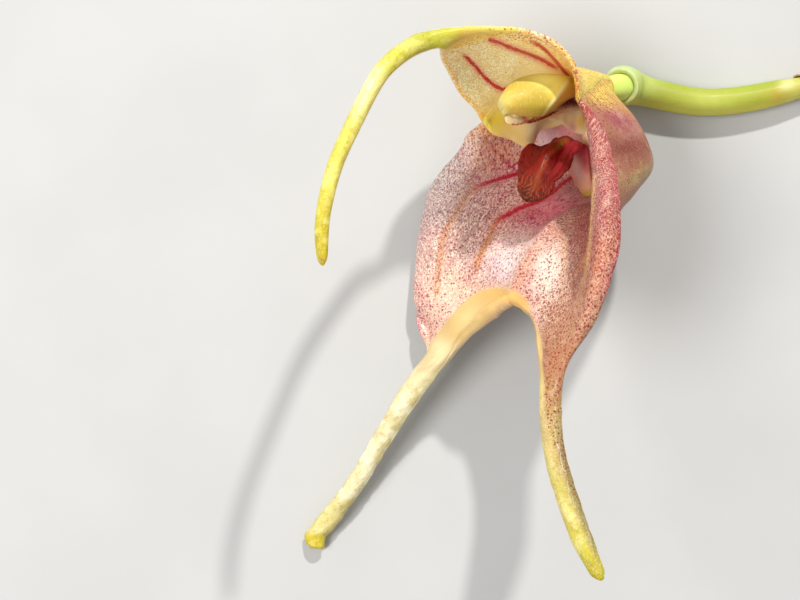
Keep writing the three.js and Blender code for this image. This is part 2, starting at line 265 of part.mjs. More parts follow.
// ---- solids
// A closed geometry from points and faces of three or four corners, turned to face outwards.
function closed(points, faces) {
  const idx = [];
  for (const f of faces) for (let i = 1; i < f.length - 1; i++) idx.push(f[0], f[i], f[i + 1]);
  let vol = 0;
  for (let i = 0; i < idx.length; i += 3) {
    const [a, b, c] = [points[idx[i]], points[idx[i + 1]], points[idx[i + 2]]];
    vol += a[0] * (b[1] * c[2] - b[2] * c[1]) + a[1] * (b[2] * c[0] - b[0] * c[2]) + a[2] * (b[0] * c[1] - b[1] * c[0]);
  }
  if (vol < 0) for (let i = 0; i < idx.length; i += 3) [idx[i + 1], idx[i + 2]] = [idx[i + 2], idx[i + 1]];
  const g = new THREE.BufferGeometry();
  g.setAttribute('position', new THREE.Float32BufferAttribute(points.flat(), 3));
  g.setIndex(idx);
  g.computeVertexNormals();
  return g;
}
const sub = (a, b) => [a[0] - b[0], a[1] - b[1], a[2] - b[2]];
const add = (a, b, s = 1) => [a[0] + b[0] * s, a[1] + b[1] * s, a[2] + b[2] * s];
const cross = (a, b) => [a[1] * b[2] - a[2] * b[1], a[2] * b[0] - a[0] * b[2], a[0] * b[1] - a[1] * b[0]];
const unit = (a) => { const l = Math.hypot(...a) || 1; return [a[0] / l, a[1] / l, a[2] / l]; };

// Gives a sheet of four-cornered faces its thickness, with a rounded rim round every free edge.
function thicken(points, quads, thick) {
  const n = points.length, N = points.map(() => [0, 0, 0]), edges = new Set();
  for (const f of quads) {
    const q = cross(sub(points[f[2]], points[f[0]]), sub(points[f[3]], points[f[1]]));
    for (const i of f) N[i] = add(N[i], q);
    for (let i = 0; i < 4; i++) edges.add(f[i] * n + f[(i + 1) % 4]);
  }
  for (let i = 0; i < n; i++) N[i] = unit(N[i]);
  const free = [...edges].map((e) => [Math.floor(e / n), e % n]).filter(([a, b]) => !edges.has(b * n + a));
  const out = new Map();
  for (const [a, b] of free) {
    const o = cross(unit(sub(points[b], points[a])), add(N[a], N[b]));
    for (const i of [a, b]) out.set(i, add(out.get(i) || [0, 0, 0], o));
  }
  const P = [];
  for (let i = 0; i < n; i++) P.push(add(points[i], N[i], thick[i] / 2));
  for (let i = 0; i < n; i++) P.push(add(points[i], N[i], -thick[i] / 2));
  const rim = new Map();
  for (const [i, o] of out) { rim.set(i, P.length); P.push(add(points[i], unit(o), 0.475 * thick[i])); }
  const F = [];
  for (const f of quads) F.push(f, [...f].reverse().map((i) => i + n));
  for (const [a, b] of free) F.push([b, a, rim.get(a), rim.get(b)], [rim.get(b), rim.get(a), a + n, b + n]);
  return closed(P, F);
}

// A curve with a frame at every point: points are [x, y, z, radius].
function rail(points, count) {
  const t = [0];
  for (let i = 1; i < points.length; i++) t.push(t[i - 1] + dist(points[i], points[i - 1]));
  const f = spline(t, points), L = t[t.length - 1], q = steps(0, L, count - 1).map(f), fr = [];
  for (let i = 0; i < count; i++) {
    const d = unit(sub(q[Math.min(i + 1, count - 1)], q[Math.max(i - 1, 0)]));
    let u = i ? fr[i - 1].u : cross(d, Math.abs(d[2]) < 0.95 ? [0, 0, 1] : [0, 1, 0]);
    const p = u[0] * d[0] + u[1] * d[1] + u[2] * d[2];
    u = unit(add(u, d, -p));
    fr.push({ c: q[i].slice(0, 3), r: q[i][3], u, w: cross(d, u) });
  }
  return fr;
}
// Rings of points round a rail: each ring is [position along it 0..1, radius or null for the rail's own].
function rings(fr, list, sides) {
  const P = [], F = [], n = fr.length;
  for (const [s, rad, lean] of list) {
    for (let j = 0; j < sides; j++) {
      const th = 2 * Math.PI * j / sides, q = clamp01(s + (lean ? lean(th) : 0)) * (n - 1), i = Math.min(n - 2, Math.floor(q)), w = q - i;
      const A = fr[i], B = fr[i + 1], mix = (a, b) => a.map((x, k) => x * (1 - w) + b[k] * w);
      const c = mix(A.c, B.c), u = unit(mix(A.u, B.u)), v = unit(mix(A.w, B.w)), r = rad === null ? A.r * (1 - w) + B.r * w : rad;
      P.push(add(add(c, u, r * Math.cos(th)), v, r * Math.sin(th)));
    }
  }
  for (let i = 0; i < list.length - 1; i++) for (let j = 0; j < sides; j++) {
    const a = i * sides + j, b = i * sides + (j + 1) % sides;
    F.push([a, b, b + sides, a + sides]);
  }
  return { P, F };
}
// A rod with flat ends along a rail.
function rod(fr, list, sides) {
  const { P, F } = rings(fr, list, sides), last = (list.length - 1) * sides;
  for (const [first, dir] of [[0, 1], [last, -1]]) {
    const c = [0, 0, 0];
    for (let j = 0; j < sides; j++) for (let k = 0; k < 3; k++) c[k] += P[first + j][k] / sides;
    P.push(c);
    for (let j = 0; j < sides; j++) {
      const a = first + j, b = first + (j + 1) % sides;
      F.push(dir > 0 ? [P.length - 1, b, a] : [P.length - 1, a, b]);
    }
  }
  return closed(P, F);
}
// A tube wall: the list of rings goes up the outside and down the inside, and closes on itself.
function wall(fr, list, sides) {
  const { P, F } = rings(fr, list, sides), last = (list.length - 1) * sides;
  for (let j = 0; j < sides; j++) F.push([last + j, last + (j + 1) % sides, (j + 1) % sides, j]);
  return closed(P, F);
}

const flower = new THREE.Group();
flower.name = 'masdevallia_flower';
function piece(name, geometry, color, roughness) {
  const m = new THREE.Mesh(geometry, new THREE.MeshStandardMaterial({ color, roughness, metalness: 0 }));
  m.name = name;
  flower.add(m);
}

// ---- the two lateral sepals: one blade down to the notch between them, then two tails
{
  const vk = rowKnots(NEAR.map((r, i) => [...r, ...FAR[i]]));
  const along = [...steps(0, vk[NOTCH], 15), ...steps(vk[NOTCH], vk[vk.length - 1], 18).slice(1)], notch = 15, NU = 9;
  const uk = (net) => rowKnots(turn(net.slice(2, 13)));
  const trim = along.map((v) => SEAM * (1 - smooth((v - vk[3]) / (vk[5] - vk[3]))));
  const side = (net) => sheet(net, vk, uk(net), along, NU, [6, NOTCH], trim, null);
  const near = side(NEAR), far = side(FAR);
  const depth = (v, s, isFar) => {
    const k = smooth((v - vk[10]) / (vk[13] - vk[10]));
    const tail = isFar ? table([vk[11], vk[13], vk[16], vk[19], vk[20]], [1.7, TAIL_FAR, 1.55, 1.3, 0.9], v)
      : table([vk[11], vk[13], vk[16], vk[19], vk[20]], [TAIL_NEAR, TAIL_NEAR, 1.4, 1.15, 0.9], v);
    const rim = table([vk[8], vk[9], vk[10], vk[11], vk[12], vk[13]], isFar ? [0, 0.12, 0.75, 1.25, 1.0, 0] : [0, 0.12, 0.75, 0.7, 0.4, 0], v);
    return (1 - k) * BLADE + k * Math.max(tail * Math.sqrt(Math.max(1 - s * s, 0)), EDGE) + rim * Math.exp(-(((1 - s) / 0.2) ** 2)) * (1 - k * 0.5);
  };
  const P = [], T = [], F = [], idN = [], idF = [];
  along.forEach((v, r) => {
    idN.push([]); idF.push([]);
    for (let c = 0; c <= NU; c++) { idN[r].push(P.length); P.push(near[r][c]); T.push(depth(v, 2 * c / NU - 1, false)); }
    for (let c = 0; c <= NU; c++) {
      if (c === NU && r <= notch) { idF[r].push(idN[r][c]); continue; }
      idF[r].push(P.length); P.push(far[r][c]); T.push(depth(v, 2 * c / NU - 1, true));
    }
  });
  for (let r = 0; r < along.length - 1; r++) for (let c = 0; c < NU; c++) {
    F.push([idN[r][c], idN[r + 1][c], idN[r + 1][c + 1], idN[r][c + 1]]);
    F.push([idF[r][c], idF[r][c + 1], idF[r + 1][c + 1], idF[r + 1][c]]);
  }
  piece('synsepal', thicken(P, F, T), 0xd9a3a0, 0.45);
}
function plainQuads(rows) {
  const F = [], C = rows[0].length;
  for (let r = 0; r < rows.length - 1; r++) for (let c = 0; c < C - 1; c++) F.push([r * C + c, r * C + c + 1, (r + 1) * C + c + 1, (r + 1) * C + c]);
  return F;
}
// ---- the dorsal sepal: a hood drawn out into a long tail
{
  const vk = rowKnots(DORSAL), uk = rowKnots(turn(DORSAL.slice(1, 10))), n = vk.length, vs = steps(0, vk[n - 1], 36), NU = 10;
  const trim = vs.map((v) => SEAM * (1 - smooth((v - vk[3]) / (vk[5] - vk[3]))));
  const rows = sheet(DORSAL, vk, uk, vs, NU, null, trim, trim), T = [];
  for (const v of vs) for (let c = 0; c <= NU; c++) {
    const s = 2 * c / NU - 1, k = smooth((v - vk[7]) / (vk[10] - vk[7]));
    const tail = table([vk[8], vk[10], vk[18], vk[n - 2], vk[n - 1]], [1.3, TAIL_DORSAL, 1.25, 1.0, 0.6], v);
    T.push((1 - k) * HOOD + k * Math.max(tail * Math.sqrt(Math.max(1 - s * s, 0)), EDGE));
  }
  piece('dorsal_sepal', thicken(rows.flat(), plainQuads(rows), T), 0xd8b560, 0.42);
}
// ---- petals and lip: thick tongues
function tongue(name, net, nv, nu, mid, edge, color) {
  const vk = rowKnots(net), uk = rowKnots(turn(net)), vs = steps(0, vk[vk.length - 1], nv), rows = sheet(net, vk, uk, vs, nu), T = [];
  for (let r = 0; r <= nv; r++) for (let c = 0; c <= nu; c++) { const s = 2 * c / nu - 1; T.push(edge + (mid - edge) * Math.sqrt(Math.max(1 - s * s, 0))); }
  piece(name, thicken(rows.flat(), plainQuads(rows), T), color, 0.4);
}
tongue('petal_right', PETAL_RIGHT, 11, 6, PETAL, PETAL_EDGE, 0xe6c24e);
tongue('petal_left', PETAL_LEFT, 11, 6, 0.9 * PETAL, PETAL_EDGE, 0xdfb35a);
tongue('lip', LIP_NET, 18, 8, LIP, LIP_EDGE, 0x7d1518);

// ---- column with its foot, and the cap on its tip
{
  const fr = rail(COLUMN, 40);
  piece('column', rod(fr, steps(0, 1, 17).map((s) => [s, null]), 14), 0xe6d79a, 0.45);
  const cf = rail(CAP, 20);
  piece('anther_cap', rod(cf, steps(0, 1, 5).map((s) => [s, null]), 14), 0xefe6cc, 0.5);
}
// ---- ovary on its short pedicel, standing in the bract's socket
{
  const fr = rail(OVARY, 20);
  piece('ovary', rod(fr, steps(0, 1, 5).map((s) => [s, null]), 16), 0xd6cf52, 0.4);
}
{
  const fr = rail(BRACT, 30), list = steps(0, 1, 8).map((s) => [s, null]);
  list.push([0.985, 1.62], [0.93, SOCKET_R], [0.60, SOCKET_R]);
  piece('floral_bract', rod(fr, list, 18), 0xbfdc8c, 0.38);
}
// ---- the stem, thinner where the papery sheath wraps it
{
  const fr = rail(PEDUNCLE, 90);
  piece('peduncle', rod(fr, steps(0, 1, 26).map((s) => [s, null]), 16), 0xb9cc55, 0.4);
  const own = (s) => { const q = s * (fr.length - 1), i = Math.min(fr.length - 2, Math.floor(q)); return fr[i].r + (fr[i + 1].r - fr[i].r) * (q - i); };
  const lean = (th) => 0.012 * Math.cos(th - MOUTH_SIDE), list = [];
  const at = steps(SHEATH_FROM, SHEATH_TO, 8);
  at.forEach((s, i) => list.push([s, own(s) + SHEATH_GAP + SHEATH_WALL, i === 8 ? lean : null]));
  [...at].reverse().forEach((s, i) => list.push([s, own(s) + SHEATH_GAP, i === 0 ? lean : null]));
  piece('peduncle_sheath', wall(fr, list, 16), 0xc9b45a, 0.6);
}

export default flower;
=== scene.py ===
import math
import bpy
import numpy as np
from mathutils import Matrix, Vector


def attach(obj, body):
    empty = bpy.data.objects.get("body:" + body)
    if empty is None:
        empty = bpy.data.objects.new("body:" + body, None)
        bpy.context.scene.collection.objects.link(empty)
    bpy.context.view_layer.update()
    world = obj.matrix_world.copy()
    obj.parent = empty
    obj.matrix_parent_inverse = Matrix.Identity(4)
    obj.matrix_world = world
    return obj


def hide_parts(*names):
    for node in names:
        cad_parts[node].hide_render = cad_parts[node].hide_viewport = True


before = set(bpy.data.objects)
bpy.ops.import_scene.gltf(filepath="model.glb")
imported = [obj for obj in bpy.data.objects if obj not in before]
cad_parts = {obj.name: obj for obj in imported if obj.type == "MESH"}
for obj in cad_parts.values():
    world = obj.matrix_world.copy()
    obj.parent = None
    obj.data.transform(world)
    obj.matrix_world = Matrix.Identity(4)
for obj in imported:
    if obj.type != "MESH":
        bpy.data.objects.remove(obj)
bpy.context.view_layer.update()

# ---------------------------------------------------------------- the drawing grid
# Shapes are drawn as nets of points (x, y, height) in steps of 0.09 mm, seen from CAMH mm above,
# then carried into the frame of the CAD model, in mm.
MM = 0.09
CAMH = 200.0
OR = np.array([22.756, 0.950, -12.264])
SA, SB, SC = 0.62, 0.78, 314.0          # the flower's own plane of symmetry: SA*x + SB*z = SC


def W(p):
    p = np.asarray(p, float)
    Z = p[..., 2] * MM
    k = (CAMH - Z) / CAMH
    return np.stack([(p[..., 0] - 400) * MM * k, (300 - p[..., 1]) * MM * k, Z], -1) - OR


def PX(P):
    Q = np.asarray(P, float) + OR
    k = CAMH / (CAMH - Q[..., 2])
    return np.stack([Q[..., 0] * k / MM + 400, 300 - Q[..., 1] * k / MM], -1)


def zmid(x):
    return (SC - SA * x) / SB


def mirror(p, sy=0.0):
    p = np.asarray(p, float)
    d = SA * p[..., 0] + SB * p[..., 2] - SC
    q = p.copy()
    q[..., 0] -= 2 * d * SA
    q[..., 2] -= 2 * d * SB
    q[..., 1] += 2 * d * sy
    return q


def nspl(t, y, tq):
    t = np.asarray(t, float); y = np.asarray(y, float); n = len(t); sh = y.shape[1:]; y = y.reshape(n, -1)
    h = np.diff(t); A = np.zeros((n, n)); r = np.zeros((n, y.shape[1])); A[0, 0] = A[-1, -1] = 1
    for i in range(1, n - 1):
        A[i, i - 1] = h[i - 1]; A[i, i] = 2 * (h[i - 1] + h[i]); A[i, i + 1] = h[i]
        r[i] = 6 * ((y[i + 1] - y[i]) / h[i] - (y[i] - y[i - 1]) / h[i - 1])
    M = np.linalg.solve(A, r)
    tq = np.asarray(tq, float); k = np.clip(np.searchsorted(t, tq, side="right") - 1, 0, n - 2)
    a = (t[k + 1] - tq)[:, None]; b = (tq - t[k])[:, None]; hk = h[k][:, None]
    out = M[k] * a ** 3 / (6 * hk) + M[k + 1] * b ** 3 / (6 * hk) + (y[k] / hk - M[k] * hk / 6) * a + (y[k + 1] / hk - M[k + 1] * hk / 6) * b
    return out.reshape((len(tq),) + sh)


def chord(rows):
    d = np.linalg.norm(np.diff(np.asarray(rows, float), axis=0), axis=-1)
    if d.ndim > 1:
        d = d.mean(axis=1)
    return np.concatenate([[0], np.cumsum(d)])


def sm(x):
    x = np.clip(x, 0, 1)
    return x * x * (3 - 2 * x)


def step(a, b, x):
    return sm((np.asarray(x, float) - a) / (b - a))


def lerp(a, b, n=7):
    a = np.array(a, float); b = np.array(b, float)
    return np.array([a + (b - a) * i / (n - 1) for i in range(n)])


# ---------------------------------------------------------------- nets
# The upper lateral sepal: free margin, crest, inner fold, wall, wall, wall, middle line.
NEAR = [
 [(610,82,-69),(611,85,-68),(611.5,88,-68),(611,92,-69),(609.5,96,-71),(607,99.5,-74.5),(604,101,-78)],
 [(598,83,-38),(602,86,-37),(607,90,-37),(613,96,-40),(617,102,-50),(617,108,-66),(613,112,-84)],
 [(590,92,0),(595,96,-1),(602,100,-4),(615,105,-14),(628,113,-33),(630,125,-62),(620,130,-92)],
 [(579,101,37),(582,105,39),(590,111,28),(612,115,12),(636,125,-12),(641,142,-50),(621,147,-92)],
 [(597,121,50),(593,122,54),(588.5,123,46),(606,128,30),(640.5,137,-5),(643.5,154,-45),(619,160,-89)],
 [(607,145,64),(600,146,69),(592,148,58),(606,150,40),(643.5,152,2),(647,168,-38),(615,178,-87)],
 [(614,178,93),(605,180,99),(595,182,87),(606,181,62),(640.5,178,15),(632,188,-25),(600,201,-74)],
 [(618,212,110),(607,214,116),(594,216,101),(603,216,72),(613,216,30),(597,217,-15),(566,214,-48)],
 [(616.5,246,113),(605,248,119),(592,250,103),(595,250,76),(590,248,38),(566,244,2),(538,240,-25)],
 [(611,272,113),(600,275,118),(589.5,277,103),(587,278,79),(576,277,46),(549,272,12),(521,268,-12)],
 [(602,299,112),(593,301,115),(584.5,303,103),(579,303,83),(566,303,55),(543,300,24),(513,298,-4)],
 [(590,326,109),(583,327,111),(575,328,102),(568,328,88),(558,326,69),(547,321,48),(535,315,24)],
 [(574,351,106),(571,352,107),(566.5,353,103),(560,353,96),(553,352,84),(546,350,71),(539.5,347,58)],
]
ARCH = 10
NEAR_TAIL = [
 ((562.5,381,122),(540,379,106)), ((561,411,134),(539.8,413,122)), ((564,447,149),(543.6,450,139)),
 ((574.5,486,168),(553.5,490,158)), ((586,521,187),(566,526,178)), ((596,548,203),(578,553,196)),
 ((602,564.5,211),(588,570,206)), ((603.9,571.3,213.8),(592.4,576,210)), ((604,576.4,215.2),(598.6,579.8,213.8)),
]
FAR_EDGE = [(597,82,-87),(565,89,-79),(526,105,-81),(487,122,-77),(474,134,-92),(461,147,-104),(437,176,-117),
 (424,210,-126.5),(418,243,-128.5),(415,272,-127.5),(415,300,-122),(419,325,-113),(428,349,-103)]
FAR_INNER = [(491,312,-24),(467,334,-50)]
FAR_TAIL = [
 ((410,379,-98),(444,364,-68)), ((388.5,411,-102),(412,409,-84)), ((366,450,-109),(385,451,-97)),
 ((341.5,488,-118),(362,489,-108)), ((322,513,-124),(345,512,-116)), ((307,532,-129.5),(330,532,-123)),
 ((305.2,536.8,-130.8),(324.2,541.5,-125.6)), ((306,541.6,-131),(323,548.4,-126.8)), ((310,546,-130.6),(314,547.4,-129)),
]
DORSAL = [
 [(610,82,-69),(609,79.5,-71),(607,77.5,-74),(604,77,-78),(601,77.5,-82),(598.5,79.5,-85),(597,82,-87)],
 [(598,83,-38),(598,77.5,-46),(596,74,-55),(591,73,-65),(584,75,-73),(574,80,-78),(565,89,-79)],
 [(590,92,0),(588,80,-12),(584,73,-28),(577,69.5,-48),(562,75,-62),(543,88,-74),(526,105,-81)],
 [(579,101,37),(579,84,25),(573,71,-2),(561,66.5,-38),(540,76,-60),(513,97,-74),(487,122,-77)],
 [(577,77,46),(572,66,28),(562,61,-2),(543,58.5,-29),(520,66,-47),(498,86,-61),(478,111,-68)],
 [(567,54,49),(557,50,30),(543,49,8),(522,50,-12),(500,57,-32),(480,76,-48),(464,96,-56)],
 [(546,38,52),(535,38,38),(520,41,20),(503,42.5,3),(484,49,-13),(467,64,-29),(454,80,-38)],
 [(516,29,57),(508,30.5,48),(497,33,35),(484,37,20),(469,43,8),(456,54,-6),(446,65,-14)],
 [(482,28,62),(476,29.5,56),(469,32,49),(462,36,41),(454,40,32),(447,46,22),(441,53,14)],
 [(454,28,62),(452,31,61),(449.5,34.5,59),(447,38,57),(444.5,41.5,54),(442,45,50),(440,48,46)],
]
DTAIL = [(428,40.5,62,18.5),(411,47.2,75,18.5),(396,57.5,88,18),(383,70,98,17.5),(373,85,106,17),(363.5,103,114,16.6),
 (354.5,121.5,121,16.2),(345.5,140.5,128,15.8),(337,160,134,15.4),(330.5,180,139,15),(326,199,143,14.6),(323,216,145,14),(321.7,233.5,146.5,13.4),
 (321.8,249,147,12),(322.3,258.5,147,8.5),(322.4,262.5,147,4)]
PED = [(972,40,-123.5,11.7),(950,47.5,-123.5,11.7),(930,54,-122.8,12.4),(915,58.5,-123,11.4),(895,64,-122.6,9.2),(860,73,-122.6,9.0),(825,81.5,-122.6,9.0),(805,86.4,-122.6,9.7),(791,89.8,-122.5,11.1),(780,92.2,-122.3,12.2),(764,95.7,-122.2,12.9),(735,100.5,-121.8,13.4),(706,102.3,-121.6,13.6),(664,95.9,-120.7,14.5),(648,91.9,-120.2,15)]
BRACT = [(644,90.8,-120.2,15.2),(637,88.8,-118.5,16.6),(629,86.8,-113.5,19),(624,86,-107,20.3),(621.3,86.3,-100,20),(620.3,86.6,-95.5,18.6)]
OVARY = [(621.2,86.8,-101,13.6),(619.6,87.2,-96.5,13.6),(615,88.3,-90.5,13.4),(610.5,89.3,-86.4,13.0),(606.5,90.6,-82.6,12.4),(600,94,-77,11.0),(594,97.6,-71.5,9.0)]
COL = [(522,113,-13,8.2),(529,111,-19,9.4),(545,106,-31,10.8),(562,101,-45,12),(577,98.5,-57,12.5),(587,102,-65,11.5),(590.5,112,-69,9.5),(590,126,-70,8),(589.5,142,-70,7),(591,160,-70,6.5),(592.4,177,-70.6,6.2),(591,188.5,-69.6,5.6)]
CAP = [(527,113.6,-13,8.2),(521,115,-9,8.8),(515,116,-5.5,8.6),(510.5,117,-3,7),(508.6,117.6,-2,4)]
PETN = [
 [(573,79,-34),(573.6,82,-29),(574,85,-26),(574.5,88,-25),(575,90.5,-26),(575.5,93,-28),(576,95,-31)],
 [(565,77,-16),(565,81,-6),(565.3,85.5,-1),(565.8,89,0),(566.5,92,-3),(567.5,95,-8),(569,97.5,-14)],
 [(553,75.7,-7),(553,81,6),(553.5,88,13),(554.5,94,15),(556,99,12),(558,102,5),(560,104,-4)],
 [(540,75,0),(540,82,13),(540.5,90,20),(541.5,98,22),(543,105,20),(545,110,12),(547,112.5,2)],
 [(527,77,6),(527,84,18),(527.5,92,25),(528.5,100,27),(530,107,24),(532,112,16),(534,115.5,7)],
 [(514,82.5,11),(514,88,22),(514.5,95,28),(515.5,101,30),(517,106.5,28),(519,111,21),(521,114,13)],
 [(506.5,90,15),(506.5,94,24),(507,98.5,29),(508,103,30),(509.5,107,28),(511.5,110.5,23),(513.5,113,17)],
 [(503,97,17),(503,99.5,22),(503.5,102.5,25),(504.5,105.5,26),(506,108.5,25),(508,111.5,22),(509.5,114,18)],
 [(502.5,103,17),(502.8,104.5,20),(503.3,106.5,22),(504.2,109,22.5),(505.5,111.5,22),(506.8,113.3,20),(508,115,17)]]
PETF = [
 [(575,95,-69),(575,98,-67.5),(575,101,-67),(575,104,-68),(576,108,-70)],
 [(561,95.5,-77),(560,99,-72),(560,104,-71),(561,113,-73),(566,121.5,-78)],
 [(547,92,-72),(546,100,-64),(545,109,-62),(545,118,-66),(546,128,-74)],
 [(540,92.5,-67),(539,102,-59),(538,112,-57),(537.5,122,-59),(537.5,132,-70)],
 [(533,93.5,-61),(531.5,105,-54),(530.5,118,-51),(530.5,131,-55),(532.5,144.5,-70)],
 [(516,98,-50),(514,109,-43),(512.5,120,-41),(512,131,-44),(512.5,139.5,-56)],
 [(501,105,-39),(499,114,-34),(498,122,-32),(497.5,129.5,-34),(498,135,-41)],
 [(491,112,-29),(490,117,-27),(489.5,122,-26),(489.5,126.5,-27),(490,130,-30)],
 [(486,118,-23),(486,119.5,-23),(486,121,-23),(486,122.5,-23),(486,124,-23)]]
LIP = [
 (588.5,193.5,7,8,0,0),(584,182,10,13,0,0),(580.5,168,13,17,0,0),(577,153,17,19,.05,0),(573.5,144,19,20,.15,0),(569,140.6,20,20,.3,0),
 (562.5,144,23,20,.35,0.1),(555,149.5,29,25,.35,0.0),(548,154,35,31,.33,-.2),(543,162,36,33,.31,-.2),(538,171,32,27,.31,-.2),(534,181,29,22,.3,-.18),(531.5,189,23,19,.28,-.15),(530,195.5,14,14,.25,-.1),(529.7,199,5,5,0.1,0)]


def build_far():
    rows = []
    w = np.array([1, .97, .9, .7, .4, .15, 0])
    for i in range(11):
        m = mirror(np.array(NEAR[i]), 0.05 if i < 6 else 0.02)
        m[6] = NEAR[i][6]
        r = m + w[:, None] * (np.array(FAR_EDGE[i], float) - m[0])
        if i >= 5:
            r[:, 0] += w * (FAR_EDGE[i][0] + 2 - r[:3, 0].min())
        r[:, 2] = np.maximum(r[:, 2], -128.6)
        rows.append(r)
    for i in (11, 12):
        a = np.array(FAR_EDGE[i], float); b = np.array(FAR_INNER[i - 11], float)
        s = np.array([0, .09, .2, .36, .55, .77, 1.])[:, None]
        dip = np.array([0, 1, 1, .9, .6, .2, 0])[:, None] * np.array([0, 0, -9.0 if i == 11 else -4.0])
        rows.append(a + (b - a) * s + dip)
    for a, b in FAR_TAIL:
        rows.append(lerp(a, b))
    return np.array(rows)


def build_near():
    return np.array([np.array(r, float) for r in NEAR] + [lerp(a, b) for a, b in NEAR_TAIL])


def build_dorsal():
    rows = [np.array(r, float) for r in DORSAL]
    c = np.array([p[:3] for p in DTAIL], float)
    c2 = np.vstack([[445, 34, 57], c])
    for i in range(len(c)):
        t = c[min(i + 1, len(c) - 1)] - c2[i]
        t = t / np.linalg.norm(t[:2])
        nrm = np.array([t[1], -t[0], 0])
        if nrm[1] > 0:
            nrm = -nrm
        if i >= 9:
            nrm = np.array([-abs(nrm[0]), nrm[1], 0])
        h = DTAIL[i][3] / 2
        rows.append(lerp(c[i] + nrm * h + np.array([0, 0, 2]), c[i] - nrm * h - np.array([0, 0, 2])))
    return np.array(rows)


def lip_rows():
    rows = []
    for x, y, wn, wf, sn, sf in LIP:
        r = []
        for q in np.array([-1, -.7, -.35, 0, .35, .7, 1.0]):
            w = (wn if q > 0 else wf) * q
            dy = (sn * wn * q) if q > 0 else (sf * wf * (-q))
            r.append((x + SA * w, y + dy, zmid(x) + SB * w))
        rows.append(r)
    return np.array(rows)


def surf(rows, vs, us, vk, uk, split=None):
    P = W(rows)
    Q = nspl(vk, P, vs)
    if split is not None:
        c, r = split
        m1 = vs <= vk[r] + 1e-9
        Q[m1, c] = nspl(vk[:r + 1], P[:r + 1, c], vs[m1])
        Q[~m1, c] = nspl(vk[r:], P[r:, c], vs[~m1])
    return np.swapaxes(nspl(uk, np.swapaxes(Q, 0, 1), us), 0, 1)


def resample(S, fr, i0=None, i1=None):
    d = np.linalg.norm(np.diff(S, axis=1), axis=-1)
    A = np.concatenate([np.zeros((len(S), 1)), np.cumsum(d, 1)], 1)
    out = np.zeros((len(S), np.shape(fr)[-1], 3))
    for r in range(len(S)):
        L = A[r, -1]; a = 0 if i0 is None else i0[r]; b = L if i1 is None else L - i1[r]
        q = a + (b - a) * (np.asarray(fr) if np.ndim(fr) == 1 else fr[r])
        for k in range(3):
            out[r, :, k] = np.interp(q, A[r], S[r, :, k])
    return out


def arc(S, axis):
    d = np.linalg.norm(np.diff(S, axis=axis), axis=-1)
    z = np.zeros_like(np.take(d, [0], axis=axis))
    return np.concatenate([z, np.cumsum(d, axis=axis)], axis=axis)


# ---------------------------------------------------------------- noise, colour, distance helpers
RNG = np.random.default_rng(11)
TAB = RNG.random((32, 32, 32))


def vn(p, scale=1.0, seed=0.0):
    """smooth value noise, -1..1"""
    q = np.asarray(p, float) * scale + seed
    i = np.floor(q).astype(int); f = q - i; f = f * f * (3 - 2 * f); i %= 32; j = (i + 1) % 32
    x, y, z = [(i[..., k], j[..., k]) for k in range(3)]
    fx, fy, fz = f[..., 0], f[..., 1], f[..., 2]
    c = lambda a, b, d: TAB[x[a], y[b], z[d]]
    r0 = (c(0, 0, 0) * (1 - fx) + c(1, 0, 0) * fx) * (1 - fy) + (c(0, 1, 0) * (1 - fx) + c(1, 1, 0) * fx) * fy
    r1 = (c(0, 0, 1) * (1 - fx) + c(1, 0, 1) * fx) * (1 - fy) + (c(0, 1, 1) * (1 - fx) + c(1, 1, 1) * fx) * fy
    return (r0 * (1 - fz) + r1 * fz) * 2 - 1


def lin(c):
    c = np.asarray(c, float) / 255
    return np.where(c <= .04045, c / 12.92, ((c + .055) / 1.055) ** 2.4)


def mixc(t, col, w):
    w = np.clip(np.asarray(w, float), 0, 1)[..., None]
    return t * (1 - w) + lin(col) * w


def brush(t, P2, items, on=1.0):
    """soft oval patches of colour: x, y, rx, ry, angle, colour, strength"""
    for x, y, rx, ry, ang, col, st in items:
        dx = P2[..., 0] - x; dy = P2[..., 1] - y; a = math.radians(ang)
        q = ((dx * math.cos(a) + dy * math.sin(a)) / rx) ** 2 + ((-dx * math.sin(a) + dy * math.cos(a)) / ry) ** 2
        t = mixc(t, col, st * np.exp(-q) * on)
    return t


def smooth_line(pts, n=60):
    p = np.asarray(pts, float)
    if len(p) < 3:
        return np.array([p[0] + (p[-1] - p[0]) * i / (n - 1) for i in range(n)])
    t = chord(p)
    return nspl(t, p, np.linspace(0, t[-1], n))


def line_dist(P2, pts):
    """signed distance to a smooth line, and how far along it the nearest point lies"""
    L = smooth_line(pts)
    shp = P2.shape[:-1]; Q = P2.reshape(-1, 2)
    best = np.full(len(Q), 1e9); sg = np.ones(len(Q)); al = np.zeros(len(Q)); run = 0.0
    for a, b in zip(L[:-1], L[1:]):
        d = b - a; l = np.linalg.norm(d)
        t = np.clip(((Q - a) @ d) / (l * l), 0, 1)
        v = Q - (a + t[:, None] * d); r = np.linalg.norm(v, axis=1)
        m = r < best
        best[m] = r[m]; al[m] = run + t[m] * l
        cr = d[0] * (Q[:, 1] - a[1]) - d[1] * (Q[:, 0] - a[0])
        sg[m] = np.where(cr[m] >= 0, 1, -1)
        run += l
    return (best * sg).reshape(shp), al.reshape(shp)


